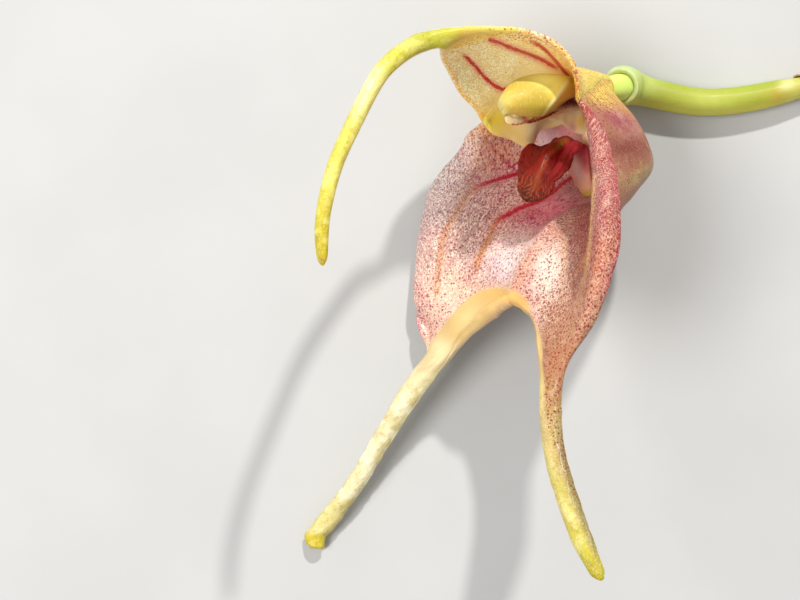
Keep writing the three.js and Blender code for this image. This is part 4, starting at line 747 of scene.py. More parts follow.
def inner_tint(D, side):
    P2 = D["P2"]; t = np.ones(P2.shape[:2] + (3,)) * lin((200, 142, 128))
    if side == "far":
        t = brush(t, P2, [
            (470, 190, 40, 30, -40, (182, 140, 136), .75), (445, 215, 24, 46, 10, (180, 146, 144), .75), (470, 250, 24, 42, 10, (176, 146, 140), .6),
            (428, 250, 13, 60, 0, (190, 136, 126), .7), (424, 322, 14, 30, 10, (214, 110, 126), .8), (450, 300, 26, 36, 0, (240, 206, 176), .8), (436, 330, 20, 24, 0, (240, 200, 172), .6), (438, 326, 14, 18, 0, (234, 168, 150), .6),
            # the bright pink-red at (556,214) is the flesh's own colour made lighter against the shade there: partly
            # painted light
            (500, 152, 24, 17, 0, (255, 190, 150), .85), (512, 170, 26, 8, 0, (216, 112, 132), .6), (482, 158, 12, 12, 0, (240, 184, 150), .6), (500, 192, 24, 14, -20, (204, 124, 124), .5), (520, 218, 42, 12, -25, (192, 56, 74), .65), (556, 214, 26, 14, -30, (244, 96, 134), .75),
            (575, 200, 18, 14, 0, (226, 150, 158), .6), (566, 190, 12, 8, 0, (220, 170, 178), .5), (505, 236, 26, 12, -10, (184, 98, 84), .6), (535, 232, 16, 10, -10, (216, 104, 126), .5),
            # the near-white patches at (512,266), (545,270) and (530,262) are a painted pool of light; the near-white
            # at (546,136) on the next line lifts the far wall's shade: painted light
            (512, 266, 24, 24, 0, (250, 232, 238), .92), (545, 270, 19, 26, 0, (250, 241, 230), .97), (530, 262, 18, 18, 0, (252, 240, 232), .8), (508, 292, 34, 7, 0, (240, 196, 140), .6),
            (470, 135, 16, 9, -35, (222, 158, 110), .6), (487, 128, 14, 9, 0, (232, 178, 96), .85), (546, 136, 20, 14, 0, (255, 244, 250), 1.0), (568, 128, 12, 10, 0, (250, 170, 166), .85), (556, 133, 8, 7, 0, (244, 190, 206), .5),
            (440, 178, 12, 34, 35, (140, 112, 110), .6), (498, 200, 22, 10, -25, (190, 92, 110), .5), (450, 228, 12, 16, 10, (170, 130, 106), .45), (478, 222, 18, 10, -25, (150, 100, 90), .5), (462, 258, 9, 16, 10, (196, 160, 150), .4)])
        t = mixc(t, (214, 96, 116), 0.55 * step(0.35, 0.0, D["em"]) * step(12.6, 11, D["row"]) * step(4, 6, D["row"]))
    else:
        t = brush(t, P2, [
            # (569,262) and (572,310) are painted shade on the near wall; (567,324) is the wall's own tan made darker as
            # painted shade; the near-white at (549,278) is a painted pool of light
            (585, 225, 14, 60, 0, (166, 56, 60), .9), (578, 270, 13, 46, 8, (150, 74, 54), .9), (572, 310, 14, 40, 12, (156, 98, 60), .85), (567, 324, 13, 34, 12, (144, 84, 48), .95), (556, 335, 12, 36, 0, (222, 180, 128), .6),
            (569, 262, 7, 22, -12, (166, 106, 80), .8), (549, 278, 15, 34, 0, (250, 241, 226), .92), (620, 120, 40, 30, 0, (206, 136, 104), .5), (615, 190, 30, 40, 0, (200, 126, 112), .6)])
        band = step(4.6, 3.6, D["em"])
        t = mixc(t, (192, 118, 76), 0.9 * band * step(11.6, 9.4, D["row"]))
        t = mixc(t, (158, 62, 44), 0.92 * band * step(8.8, 6.4, D["row"]))
        g1, _ = line_dist(P2, [(597,176),(594,216),(591,250),(585,286),(573,314),(564,345),(558,385)])
        g2, _ = line_dist(P2, [(566,238),(565,276),(561,302),(553,332),(549,365)])
        t = mixc(t, (132, 50, 46), 0.55 * np.exp(-((np.abs(g1) - 4.6) / 2.2) ** 2) * step(3.4, 4.6, D["row"]) * step(10.6, 9.4, D["row"]))
        t = mixc(t, (206, 160, 84), 0.85 * np.exp(-(g1 / 1.9) ** 2) * step(3.4, 4.6, D["row"]) * step(12.0, 10.6, D["row"]))
        t = mixc(t, (214, 176, 112), 0.6 * np.exp(-(g2 / 1.8) ** 2) * step(4.4, 5.6, D["row"]) * step(11.6, 10.2, D["row"]))
        # painted highlight: a pink-white band along the near margin
        t = mixc(t, (226, 138, 136), 0.6 * step(1.3, 0.4, D["em"]) * step(7.6, 9.4, D["row"]) * step(12.4, 11.4, D["row"]))
        t = mixc(t, (182, 24, 60), 0.85 * step(0.42, 0.05, D["em"]) * step(12.9, 11.7, D["row"]) * step(3.2, 4.2, D["row"]))
        # painted shade: a dark crease along the inner edge of the rolled band
        t = mixc(t, (150, 60, 60), 0.7 * np.exp(-((D["em"] - 4.4) / 0.7) ** 2) * step(12, 10.5, D["row"]) * step(3.5, 5, D["row"]))
    return tail_tint(t, D, side)


def outer_tint(D, side):
    P2 = D["P2"]; t = np.ones(P2.shape[:2] + (3,)) * lin((178, 122, 94))
    if side == "near":
        # the thin pale streaks at (628,136) and (640,128) are painted highlight; the dark brown-red at (628,150),
        # (640,172) and (626,200) is the chin's own colour made darker as painted shade
        t = brush(t, P2, [
            (600, 90, 30, 20, 20, (192, 140, 36), .99), (584, 106, 6, 9, 0, (184, 92, 56), .8), (608, 90, 26, 14, 30, (196, 146, 40), .9), (624, 106, 18, 9, 40, (204, 136, 70), .8), (616, 121, 26, 8, 25, (150, 56, 80), .9), (640, 128, 12, 10, 0, (206, 150, 140), .5), (628, 136, 20, 3, -25, (196, 140, 128), .6),
            (628, 150, 30, 16, 0, (124, 47, 39), .92), (640, 172, 26, 12, 0, (150, 96, 66), .85), (632, 182, 30, 5, -40, (172, 148, 92), .85), (626, 200, 24, 16, 0, (150, 98, 60), .85),
            (600, 250, 30, 60, 0, (184, 122, 98), .7)])
    else:
        t = mixc(t, (224, 176, 90), step(4.6, 2.4, D["row"]))
        t = mixc(t, (190, 130, 116), .6 * step(4, 6, D["row"]) * step(9, 6, D["row"]))
        t = mixc(t, (196, 172, 124), .5 * step(7, 9, D["row"]))
    # greenish lengthwise veins show through the back
    for d in (dA, dB, dC):
        t = mixc(t, (176, 158, 96), 0.35 * np.exp(-(d / 4.5) ** 2) * step(12.5, 11, D["row"]))
    return tail_tint(t, D, side)


def syn_masks(D, side, lay_inner):
    r, s = D["row"], D["s"]
    if side == "far":
        sp = step(1.5, 3.6, r) * step(12.6, 11.2, r)
        sp = sp * (1 - 0.92 * step(0.0, 1.5, rF) * step(8.4, 9.0, r))
        sp = sp * (1 - np.exp(-((D["P2"][..., 0] - 552) / 24) ** 2 - ((D["P2"][..., 1] - 134) / 16) ** 2)) * (1 - 0.75 * np.exp(-((D["P2"][..., 0] - 566) / 22) ** 2 - ((D["P2"][..., 1] - 202) / 14) ** 2))
        net = step(2.0, 4.0, r) * step(13.5, 11.5, r)
        net = net * (1 - 0.8 * np.exp(-((D["P2"][..., 0] - 560) / 26) ** 2 - ((D["P2"][..., 1] - 200) / 22) ** 2)) * (1 - 0.7 * np.exp(-((D["P2"][..., 0] - 530) / 30) ** 2 - ((D["P2"][..., 1] - 216) / 10) ** 2))
    else:
        s0 = np.interp(D["P2"][..., 1], [350, 380, 394, 415, 433, 460, 490], [.55, .42, .3, .1, -.1, -.35, -.8])
        tail = step(0.25, -0.25, s - s0) * step(17.4, 15.6, r) * 1.0
        sp = step(1.2, 3.0, r) * np.where(r < 12.2, 1.0, np.maximum(tail, step(13.2, 12.2, r)))
        sp = sp * (1 - 0.9 * rimN)
        net = step(1.2, 3.0, r) * (1 - 0.85 * step(10.4, 12.2, r)) * step(20.5, 19, r)
        tk = np.exp(-((D["em"] - 2.2) / 2.2) ** 2)
        net = np.clip(net * (0.62 - 0.22 * tk - 0.26 * tk * step(9.0, 6.0, r)), 0, 1.25) * (1 - 0.5 * np.exp(-((D["P2"][..., 0] - 567) / 12) ** 2 - ((D["P2"][..., 1] - 325) / 30) ** 2)) * (1 - 0.5 * np.exp(-((D["P2"][..., 0] - 584) / 13) ** 2 - ((D["P2"][..., 1] - 245) / 70) ** 2))
        net = net * (1 + 0.7 * np.exp(-((D["P2"][..., 0] - 552) / 16) ** 2 - ((D["P2"][..., 1] - 300) / 50) ** 2))
    sp = np.clip(sp * (0.82 + 0.18 * vn(np.stack([D["um"], D["vm"], D["um"] * 0 + 3], -1), 0.35)), 0, 1)
    if side == "near" and lay_inner:
        sp = sp * (1 + (0.5 * step(8.6, 10.6, r) - 0.5 * step(11.0, 12.6, r)) * step(17, 15, r) + 0.4 * np.exp(-((D["P2"][..., 0] - 556) / 14) ** 2 - ((D["P2"][..., 1] - 285) / 40) ** 2) + 0.5 * np.exp(-((D["em"] - 2.0) / 2.0) ** 2) * step(4.0, 6.0, r) * step(10.6, 8.6, r))
    elif lay_inner:
        sp = sp * (1 + 0.35 * np.exp(-((D["P2"][..., 0] - 545) / 26) ** 2 - ((D["P2"][..., 1] - 268) / 26) ** 2))
    if not lay_inner:
        sp = sp * 0.42 * np.where(side == "near", 1, 0.8); net = net * 0.16
    return sp, net


def cat(a, b):
    """values on the sheet's vertices: the whole near half, then the far half without the shared middle line"""
    return np.concatenate([a.reshape(R * C, -1), b.reshape(R * C, -1)[far_keep]])


far_keep = np.ones((R, C), bool); far_keep[:n1 + 1, C - 1] = False
idn = np.arange(R * C).reshape(R, C)
idf = np.full((R, C), -1); idf[far_keep] = R * C + np.arange(far_keep.sum()); idf[:n1 + 1, C - 1] = idn[:n1 + 1, C - 1]
far_keep = far_keep.ravel()
Fn = np.stack([idn[:-1, :-1], idn[1:, :-1], idn[1:, 1:], idn[:-1, 1:]], -1).reshape(-1, 4)
Ff = np.stack([idf[:-1, :-1], idf[:-1, 1:], idf[1:, 1:], idf[1:, :-1]], -1).reshape(-1, 4)
Vs = cat(Sn, Sf); Fs = np.concatenate([Fn, Ff])
Tn, Tf = syn_T("near"), syn_T("far")

# gentle waves of the free margins, and lengthwise relief over the veins
wn = vn(np.stack([Dn["vm"], Dn["em"] * .3, Dn["em"] * 0], -1), 0.55, 3.1)
wf = vn(np.stack([Df["vm"], Df["em"] * .3, Df["em"] * 0], -1), 0.55, 8.7)
T = cat(Tn[..., None], Tf[..., None])[:, 0]
Vt, Ft, src, lay, Ns = solidify(Vs, Fs, T / 2, T / 2, rings=3)
FACE = np.array([-0.78, 0.0, 0.62])
flip = 1.0 if float(np.mean(Ns[idf[60:90, 30]] @ FACE)) > 0 else -1.0
inner = lay * flip
# displacement of the sheet as a whole
em = cat(Dn["em"][..., None], Df["em"][..., None])[:, 0]; um = cat(Dn["um"][..., None], Df["um"][..., None])[:, 0]
vm = cat(Dn["vm"][..., None], Df["vm"][..., None])[:, 0]; rw = cat(row[..., None], row[..., None])[:, 0]; ss = cat(s_[..., None], s_[..., None])[:, 0]
dAv, dBv, dCv = [cat(d[..., None], d[..., None])[:, 0] for d in (dA, dB, dC)]
wav = cat(wn[..., None], wf[..., None])[:, 0]
cup = step(2.0, 4.5, rw) * step(13.0, 11.0, rw)
shiftN = 0.10 * wav * np.exp(-em / 1.4) * cup + 0.035 * vn(np.stack([um, vm, um * 0 + 5], -1), 0.8) * step(1.0, 3.0, rw)
tailk = step(12.5, 14.0, rw)
shiftN = shiftN + 0.05 * tailk * vn(np.stack([um * 0.5, vm, um * 0 + 9], -1), 0.55)
shiftN *= flip
rel = np.zeros(len(Vs))
for d in (dAv, dBv, dCv):
    rel -= 0.05 * np.exp(-(d / 2.2) ** 2) * cup
rel += 0.02 * vn(np.stack([um * 2.4, vm * 0.7, um * 0 + 2], -1), 1.0) * cup
relo = np.zeros(len(Vs))
for d in (dAv, dBv, dCv):
    relo += 0.07 * np.exp(-(d / 2.6) ** 2) * cup
# push the sheet along its normals: margin waves, relief over the veins, bumps on the tails; nothing goes below the
# floor
add = shiftN[src] * 1.0
Vt = Vt + Ns[src] * add[:, None]
Vt = Vt + Ns[src] * (flip * (rel[src] * (inner > 0.5) - relo[src] * (inner < -0.5)))[:, None]
Vt = Vt + Ns[src] * (lay * tailk[src] * (0.030 * vn(Vt, 0.8, 5.0) + 0.022 * vn(Vt, 1.9, 6.0)))[:, None]
Vt[:, 2] = np.maximum(Vt[:, 2], 0.02)

tin_i = cat(inner_tint(Dn, "near"), inner_tint(Df, "far"))
tin_o = cat(outer_tint(Dn, "near"), outer_tint(Df, "far"))
spi = np.concatenate([a for a in (cat(*[syn_masks(D, sd, True)[0][..., None] for D, sd in ((Dn, "near"), (Df, "far"))]),)])[:, 0]
neti = cat(*[syn_masks(D, sd, True)[1][..., None] for D, sd in ((Dn, "near"), (Df, "far"))])[:, 0]
spo = cat(*[syn_masks(D, sd, False)[0][..., None] for D, sd in ((Dn, "near"), (Df, "far"))])[:, 0]
P2a = cat(Dn["P2"], Df["P2"])
spo = np.clip(spo + 0.75 * np.exp(-((P2a[:, 0] - 612) / 20) ** 2 - ((P2a[:, 1] - 109) / 8) ** 2) + 0.5 * np.exp(-((P2a[:, 0] - 592) / 16) ** 2 - ((P2a[:, 1] - 96) / 12) ** 2), 0, 1)
neto = cat(*[syn_masks(D, sd, False)[1][..., None] for D, sd in ((Dn, "near"), (Df, "far"))])[:, 0]
redv = cat(red[..., None], red[..., None] * 0.6)[:, 0] * 0
redv = cat((red * 0.0)[..., None], red[..., None])[:, 0]
orv = cat(orange[..., None], orange[..., None])[:, 0]
rimv = cat(rimN[..., None], rimF[..., None])[:, 0]
iw = step(-0.7, 0.5, inner)
tint = tin_o[src] * (1 - iw[:, None]) + tin_i[src] * iw[:, None]
msk = np.stack([spo[src] * (1 - iw) + spi[src] * iw, neto[src] * (1 - iw) + neti[src] * iw, redv[src] * iw], 1)
dv = np.stack([dAv[src], dBv[src], dCv[src]], 1)
def blob(D, items):
    m_ = 0
    for x_, y_, rx, ry in items:
        m_ = m_ + np.exp(-((D["P2"][..., 0] - x_) / rx) ** 2 - ((D["P2"][..., 1] - y_) / ry) ** 2)
    return np.clip(m_, 0, 1)


magv = cat((0 * s_)[..., None], blob(Df, [(497, 150, 14, 14), (515, 165, 14, 8), (478, 178, 8, 6), (535, 222, 30, 8), (565, 205, 14, 8)])[..., None])[:, 0]
lnv = cat(np.clip(0.2 + 0.5 * np.exp(-((Dn["em"] - 1.6) / 2.2) ** 2), 0, 1)[..., None], np.clip(0.22 + blob(Df, [(515, 226, 44, 16), (482, 205, 40, 26), (540, 214, 20, 10), (455, 180, 26, 26)]), 0, 1)[..., None])[:, 0]
goldv = cat((np.clip(1.3 * np.exp(-((Dn["P2"][..., 0] - 602) / 30) ** 2 - ((Dn["P2"][..., 1] - 90) / 16) ** 2), 0, 1) * step(5, 3.4, row))[..., None], (step(4.4, 2.4, row))[..., None])[:, 0]
side_id = cat(np.zeros((R, C, 1)), np.ones((R, C, 1)))[:, 0]
# where the painted glints go: white flecks for the silvery sheen along the far margin and its upper left, and along the
# near band
painted_glint_far = np.clip(1.0 * np.exp(-(Df["em"] / 2.4) ** 2) * step(3.4, 5, row) * step(11.5, 8.5, row) + 0.8 * np.exp(-((Df["P2"][..., 0] - 452) / 32) ** 2 - ((Df["P2"][..., 1] - 190) / 46) ** 2), 0, 1)
painted_glint_near = 0.5 * np.exp(-((Dn["em"] - 1.6) / 1.5) ** 2) * step(3.2, 4.2, row) * step(9, 6, row)
painted_glint_all = cat(painted_glint_near[..., None], painted_glint_far[..., None])[:, 0]
ex = np.stack([rimv[src] * np.maximum(iw, 0.0), painted_glint_all[src] * iw, orv[src] * iw], 1)
P2s = cat(Dn["P2"], Df["P2"])[src]
trim = np.ones((len(Vt), 3)) * lin((216, 180, 114))
trim = brush(trim, P2s, [(470, 320, 16, 12, -40, (238, 208, 142), .8), (505, 296, 22, 6, 0, (230, 180, 100), .8), (445, 350, 12, 12, 0, (240, 222, 168), .9), (528, 300, 8, 6, 0, (216, 156, 78), .8), (545, 350, 10, 24, 0, (222, 190, 130), .8)])
uvm = np.stack([um[src], vm[src], side_id[src] * 2.0 + (lay < 0) * 1.0], 1)
mat_syn = sepal_material("synsepal_skin", (0.275, 0.18), (132, 8, 34), (186, 2, 44), vein=(1.2, 2.8), scale=0.00055)
piece("synsepal_sheet", Vt, [Ft], mat_syn, ["synsepal"], dict(uvm=uvm, msk=msk, dv=dv, ex=ex, mag=magv[src] * iw, lns=lnv[src] * (0.1 + 0.9 * iw), gold=goldv[src] * (1 - iw), tl=tailk[src], tint=tint, tint_rim=trim))

# ================================================================ dorsal sepal and its tail
ND, NDV = 70, 250
drows = build_dorsal(); Pd = W(drows); vkd = chord(Pd); ukd = chord(np.swapaxes(Pd[1:10], 0, 1))
vsd = np.linspace(0, vkd[-1], NDV + 1)
rodd = sm((vsd - vkd[8]) / (vkd[10] - vkd[8]))[:, None]; frd = np.linspace(0, 1, ND + 1)[None, :]
frd = (1 - rodd) * frd + rodd * (1 - np.cos(np.pi * frd)) / 2
Sd = resample(surf(drows, vsd, np.linspace(0, ukd[-1], 220), vkd, ukd), frd)
Rd, Cd = Sd.shape[:2]
rwd = np.interp(vsd, vkd, np.arange(len(vkd)))[:, None] * np.ones((1, Cd))
sd_ = 2 * frd - 1
kd = sm((vsd - vkd[7]) / (vkd[10] - vkd[7]))[:, None]
Ttd = np.interp(vsd, [vkd[8], vkd[10], vkd[18], vkd[-2], vkd[-1]], [1.3, 1.5, 1.25, 1.0, 0.6])[:, None]
Td = (1 - kd) * 0.42 + kd * np.maximum(Ttd * np.sqrt(np.maximum(1 - sd_ ** 2, 0)), 0.10)
P2d = PX(Sd)
Ld = arc(Sd, 1); emd = np.minimum(Ld, Ld[:, -1:] - Ld); umd = Ld - Ld[:, -1:] / 2; vmd = arc(Sd, 0)
VA = [(461,52),(466,56),(472,62),(478,69),(483,75),(488,80),(495,85),(502,88),(508,88)]
VB = [(487,37),(495,39),(503,42),(520,49),(540,57),(553,64),(560,68)]
VC = [(525,37.5),(540,43.5),(547,49),(552,54),(562,66),(569,76)]
a1, t1 = line_dist(P2d, VA); a2, t2 = line_dist(P2d, VB); a3, t3 = line_dist(P2d, VC)
nr = np.argmin(np.abs(np.stack([a1, a2, a3])), 0)
red_d = np.choose(nr, [step(0, 12, t1), step(0, 4, t2) * step(84, 62, t2), step(0, 24, t3)])
orange_d = np.choose(nr, [0.5 * step(14, 0, t1), 0.3 + 0 * t2, 0.4 + 0 * t3])
td = np.ones((Rd, Cd, 3)) * lin((222, 200, 150))
td = brush(td, P2d, [
    (462, 72, 22, 24, 30, (200, 190, 150), .85), (500, 62, 40, 16, 10, (230, 206, 154), .6), (480, 100, 16, 22, 30, (228, 206, 146), .6), (530, 44, 34, 8, 14, (238, 200, 110), .85),
    (555, 52, 26, 12, 45, (234, 186, 96), .85), (568, 66, 14, 14, 45, (228, 172, 80), .85), (520, 33, 30, 5, 0, (236, 204, 104), .8), (484, 118, 10, 8, 0, (236, 190, 92), .9),
    (540, 64, 26, 10, 20, (230, 208, 168), .5)])
# painted light: the dorsal sepal's shoulder next to the seam is lifted to bright gold to offset the shade its face gets
td = mixc(td, (255, 196, 58), step(4.2, 2.2, rwd) * step(572, 580, P2d[..., 0]))
td = mixc(td, (224, 164, 70), 0.8 * step(0.5, 0.1, emd) * step(9.6, 8.2, rwd) * step(2.5, 4.0, rwd))
td = brush(td, P2d, [(577, 92, 4.5, 12, 0, (168, 92, 34), .85)])
# the thick yellow-green start of the tail runs on over the blade as a tongue
tng, _ = line_dist(P2d, [(439,49),(455,46),(470,42),(480,38),(490,36.5),(505,33)])
tongue = step(1.0, -1.6, tng) * step(6.4, 7.2, rwd)
td = mixc(td, (222, 200, 84), 0.9 * tongue)
td = mixc(td, (188, 186, 58), step(8.2, 9.4, rwd))
td = mixc(td, (200, 194, 48), step(10.5, 12.5, rwd))
td = mixc(td, (212, 202, 92), step(12.5, 15.0, rwd) * 0.9)
td = mixc(td, (194, 180, 36), step(18.5, 22.0, rwd))
td = mixc(td, (180, 154, 5), step(22.5, 25.2, rwd) * 0.9)
# painted highlight: pale streaks on the upper left of the dorsal tail
td = brush(td, P2d, [(366, 86, 10, 24, 32, (255, 252, 206), .6), (359, 110, 6, 14, 24, (255, 252, 206), .35)], 1.0 * step(9.0, 10.5, rwd))
mod = vn(np.stack([P2d[..., 0] * .09, P2d[..., 1] * .09, umd * 0], -1), 1.2, 4.0)
td = mixc(td, (242, 236, 150), 0.4 * step(0.05, 0.6, mod) * step(9.5, 11.0, rwd))
Vd0 = Sd.reshape(-1, 3)
Fd0 = grid_faces(Rd, Cd)
Vd, Fd, srcd, layd, Nd = solidify(Vd0, Fd0, Td.ravel() / 2, Td.ravel() / 2, rings=3)
flipd = 1.0 if float(np.mean(Nd[(np.arange(Rd * Cd).reshape(Rd, Cd))[70:100, 50]] @ FACE)) > 0 else -1.0
rf = lambda a: a.reshape(Rd * Cd, -1)
cupd = (step(2.0, 3.6, rwd) * step(9.0, 7.4, rwd)).ravel()
hump = np.zeros(Rd * Cd)
for a in (a1, a2, a3):
    hump += 0.05 * np.exp(-(a.ravel() / 2.0) ** 2) * cupd
wv_ = vn(np.stack([umd, vmd, umd * 0], -1), 0.6, 2.2).ravel() * 0.05 * cupd
wv_ += 0.09 * vn(np.stack([vmd, emd * .3, emd * 0 + 4], -1), 0.6).ravel() * np.exp(-emd.ravel() / 1.0) * cupd
wv_ += 0.045 * vn(np.stack([umd, vmd * 0.9, umd * 0 + 7], -1), 0.7).ravel() * step(9, 11, rwd).ravel()
Vd = Vd + Nd[srcd] * (wv_[srcd] + (hump[srcd]) * 0.6)[:, None]
ind = step(-0.7, 0.5, layd * flipd)
tb, _ = line_dist(P2d, [(446,44),(470,36),(500,31.5),(530,34.5),(552,44),(568,60),(577,80)])
tb2, _ = line_dist(P2d, [(572,62),(577,76),(578,92),(579,102)])
spd = (step(2.0, 3.0, rwd) * step(8.6, 6.5, rwd) * (0.04 + 0.8 * np.exp(-(tb / 5.5) ** 2) + 0.9 * np.exp(-(tb2 / 4.0) ** 2) + 0.5 * np.exp(-((P2d[..., 1] - 36) / 9) ** 2) + 0.45 * np.exp(-((P2d[..., 0] - 452) / 12) ** 2 - ((P2d[..., 1] - 50) / 8) ** 2))).ravel()
netd = (step(3.4, 4.6, rwd) * step(9.4, 8.0, rwd) * (1 - 0.5 * step(545, 565, P2d[..., 0]))).ravel() * (1 - 0.7 * tongue.ravel())
goldd = (step(4.6, 3.0, rwd) * step(566, 576, P2d[..., 0])).ravel()
mskd = np.stack([spd[srcd], netd[srcd] * 0.85, red_d.ravel()[srcd] * (0.35 + 0.65 * ind)], 1)
dvd = np.stack([a1.ravel()[srcd], a2.ravel()[srcd], a3.ravel()[srcd]], 1)
exd = np.stack([np.zeros(len(Vd)), np.zeros(len(Vd)), orange_d.ravel()[srcd]], 1)
uvmd = np.stack([umd.ravel()[srcd], vmd.ravel()[srcd], (layd < 0) * 1.0 + 6], 1)
mat_d = sepal_material("dorsal_skin", (0.27, 0.18), (150, 44, 24), (176, 10, 40), lines=0.9, sss=1.0, rough=0.36, vein=(1.0, 2.4), scale=0.0016, linecol=(255, 252, 230), stain=(222, 180, 128), radius=(1.0, 0.9, 0.62))
piece("dorsal_sheet", Vd, [Fd], mat_d, ["dorsal_sepal"], dict(uvm=uvmd, msk=mskd, dv=dvd, ex=exd, mag=np.zeros(len(Vd)), lns=np.full(len(Vd), 0.8), gold=goldd[srcd], tl=1.0 * step(8.6, 10.0, rwd).ravel()[srcd], tint=rf(td)[srcd], tint_rim=rf(td)[srcd]))


# ================================================================ petals
def leaf(rows, nu, nv, Tc, Te, warp=None):
    P = W(rows); v_k = chord(P); u_k = chord(np.swapaxes(P, 0, 1))
    S = surf(rows, np.linspace(0, v_k[-1], nv), np.linspace(0, u_k[-1], nu), v_k, u_k)
    s = np.linspace(-1, 1, nu)[None, :] * np.ones((nv, 1)); v = np.linspace(0, 1, nv)[:, None] * np.ones((1, nu))
    if warp is not None:
        S = warp(S, s, v)
    T_ = Te + (Tc - Te) * np.sqrt(np.maximum(1 - s * s, 0))
    Vv, Ff_, sr, ly, Nn = solidify(S.reshape(-1, 3), grid_faces(nv, nu), T_.ravel() / 2, T_.ravel() / 2, rings=3)
    return dict(S=S, V=Vv, F=Ff_, src=sr, lay=ly, N=Nn, s=s.ravel(), v=v.ravel(), P2=PX(S).reshape(-1, 2),
                um=(arc(S, 1) - arc(S, 1)[:, -1:] / 2).ravel(), vm=arc(S, 0).ravel())


KEEL = [(566,84),(560,91),(553,99.5),(546,108),(541,116)]


def warp_near(S, s, v):
    P2 = PX(S); d, _ = line_dist(P2, KEEL)
    drop = np.where(d < 0, -d, 0)              # right of the keel
    S = S.copy()
    S[..., 2] -= 0.052 * np.minimum(drop, 20) * step(-1, 1.5, drop)
    S[..., 2] += 0.10 * np.exp(-(d / 1.6) ** 2) * step(0.05, 0.2, v)
    # frayed tip
    e = step(0.93, 1.0, v)
    S[..., 0] -= e * 0.16 * np.abs(np.sin(s * 11.0 + 1.3 * np.sin(s * 5)))
    return S


L1 = leaf(PETN, 54, 80, 0.62, 0.26, warp_near)
dK, _ = line_dist(L1["P2"], KEEL)
t = np.ones((len(L1["P2"]), 3)) * lin((196, 172, 62))
# painted light and shade: the lit front dome at (518,94) is toned down, the top and right in the dorsal sepal's shadow
# are lifted to pale yellow at (548,80), (560,86) and (556,94), and the olive at (548,110) is painted shade along the
# lower edge
t = brush(t, L1["P2"], [(518, 94, 18, 16, -40, (200, 176, 66), .8), (548, 80, 20, 8, 4, (255, 252, 136), 1.0), (560, 86, 10, 9, 0, (255, 244, 130), .95), (556, 94, 8, 8, 0, (255, 238, 110), .85), (505, 104, 8, 12, 0, (226, 206, 112), .8), (518, 110, 14, 5, 20, (232, 192, 78), .6), (548, 110, 8, 5, -20, (176, 160, 44), .8)])
# the golden right facet is its own colour, painted brighter against the dorsal sepal's shadow: partly painted light
t = mixc(t, (255, 218, 82), 0.85 * step(0.5, -1.5, dK) * step(0.03, 0.12, L1["v"]))
t = mixc(t, (255, 248, 178), 0.9 * np.exp(-((dK - 0.4) / 1.0) ** 2) * step(0.05, 0.2, L1["v"]))
t = mixc(t, (240, 222, 140), step(0.9, 1.0, L1["v"]) * 0.7)
# the dark brown under the right edge is partly the flesh's own colour and partly painted shade; the olive along the
# lower edge is painted shade
t = brush(t, L1["P2"], [(563, 102.5, 9, 3.2, -22, (112, 44, 20), .9), (548, 111, 8, 3.4, -32, (166, 156, 36), .9)])
t = mixc(t, (176, 90, 40), 0.55 * step(0.06, 0.0, L1["v"]))
sr = L1["src"]
msk1 = np.stack([np.full(len(sr), 0.7), np.zeros(len(sr)), np.zeros(len(sr))], 1)
uv1 = np.stack([L1["um"][sr], L1["vm"][sr], (L1["lay"] < 0) * 1.0 + 9], 1)
mat_p = flesh_material("petal_wax", rough=0.5, sss=0.45, coat=0.03, scale=0.0005, radius=(1.0, 0.85, 0.5), spec=0.3, grain=(0.5, 1.0), bump=0.25, fleck_amt=0.3)
piece("petal_near", L1["V"], [L1["F"]], mat_p, ["petal_right"], dict(uvm=uv1, msk=msk1, tint=t[sr]))


def warp_far(S, s, v):
    S = S.copy()
    w = vn(np.stack([v * 9, s * 0.6, s * 0], -1), 1.0)
    S[..., 2] += 0.12 * w * np.abs(s) ** 3
    return S


L2 = leaf(PETF, 50, 84, 0.55, 0.24, warp_far)
t = np.ones((len(L2["P2"]), 3)) * lin((255, 228, 140))
# the pale cream at (536,128) lifts the near petal's cast shadow: painted light
t = brush(t, L2["P2"], [(496, 122, 13, 12, 0, (246, 232, 64), .95), (515, 132, 20, 10, 10, (255, 226, 140), .7), (540, 124, 20, 8, 0, (250, 228, 160), .8), (560, 118, 12, 8, 0, (250, 232, 180), .8), (525, 141, 16, 6, 0, (255, 218, 140), .7), (536, 128, 9, 14, 0, (255, 246, 206), .9), (487, 121, 4, 4, 0, (216, 196, 60), .8)])
sr = L2["src"]
msk2 = np.stack([np.full(len(sr), 0.6), np.zeros(len(sr)), np.zeros(len(sr))], 1)
uv2 = np.stack([L2["um"][sr], L2["vm"][sr], (L2["lay"] < 0) * 1.0 + 12], 1)
mat_p2 = flesh_material("petal_wax_thin", rough=0.48, sss=0.25, coat=0.04, scale=0.0004, radius=(1.0, 0.85, 0.6), grain=(0.5, 1.0), bump=0.25, fleck_amt=0.25)
piece("petal_far", L2["V"], [L2["F"]], mat_p2, ["petal_left"], dict(uvm=uv2, msk=msk2, tint=t[sr]))

# ================================================================ lip
RIDGE_1 = [(575,139),(569,140.2),(562,144),(555,150),(549,155),(544.5,164),(540,173),(535.5,183),(532,191),(530,198)]
RIDGE_2 = [(584,141),(577,146),(571,153),(565,161),(558,169),(551,177),(545,186),(538,195)]
VALLEY = [(577,139),(568,144),(561,151),(555,160),(549,169),(544,178),(539,187)]


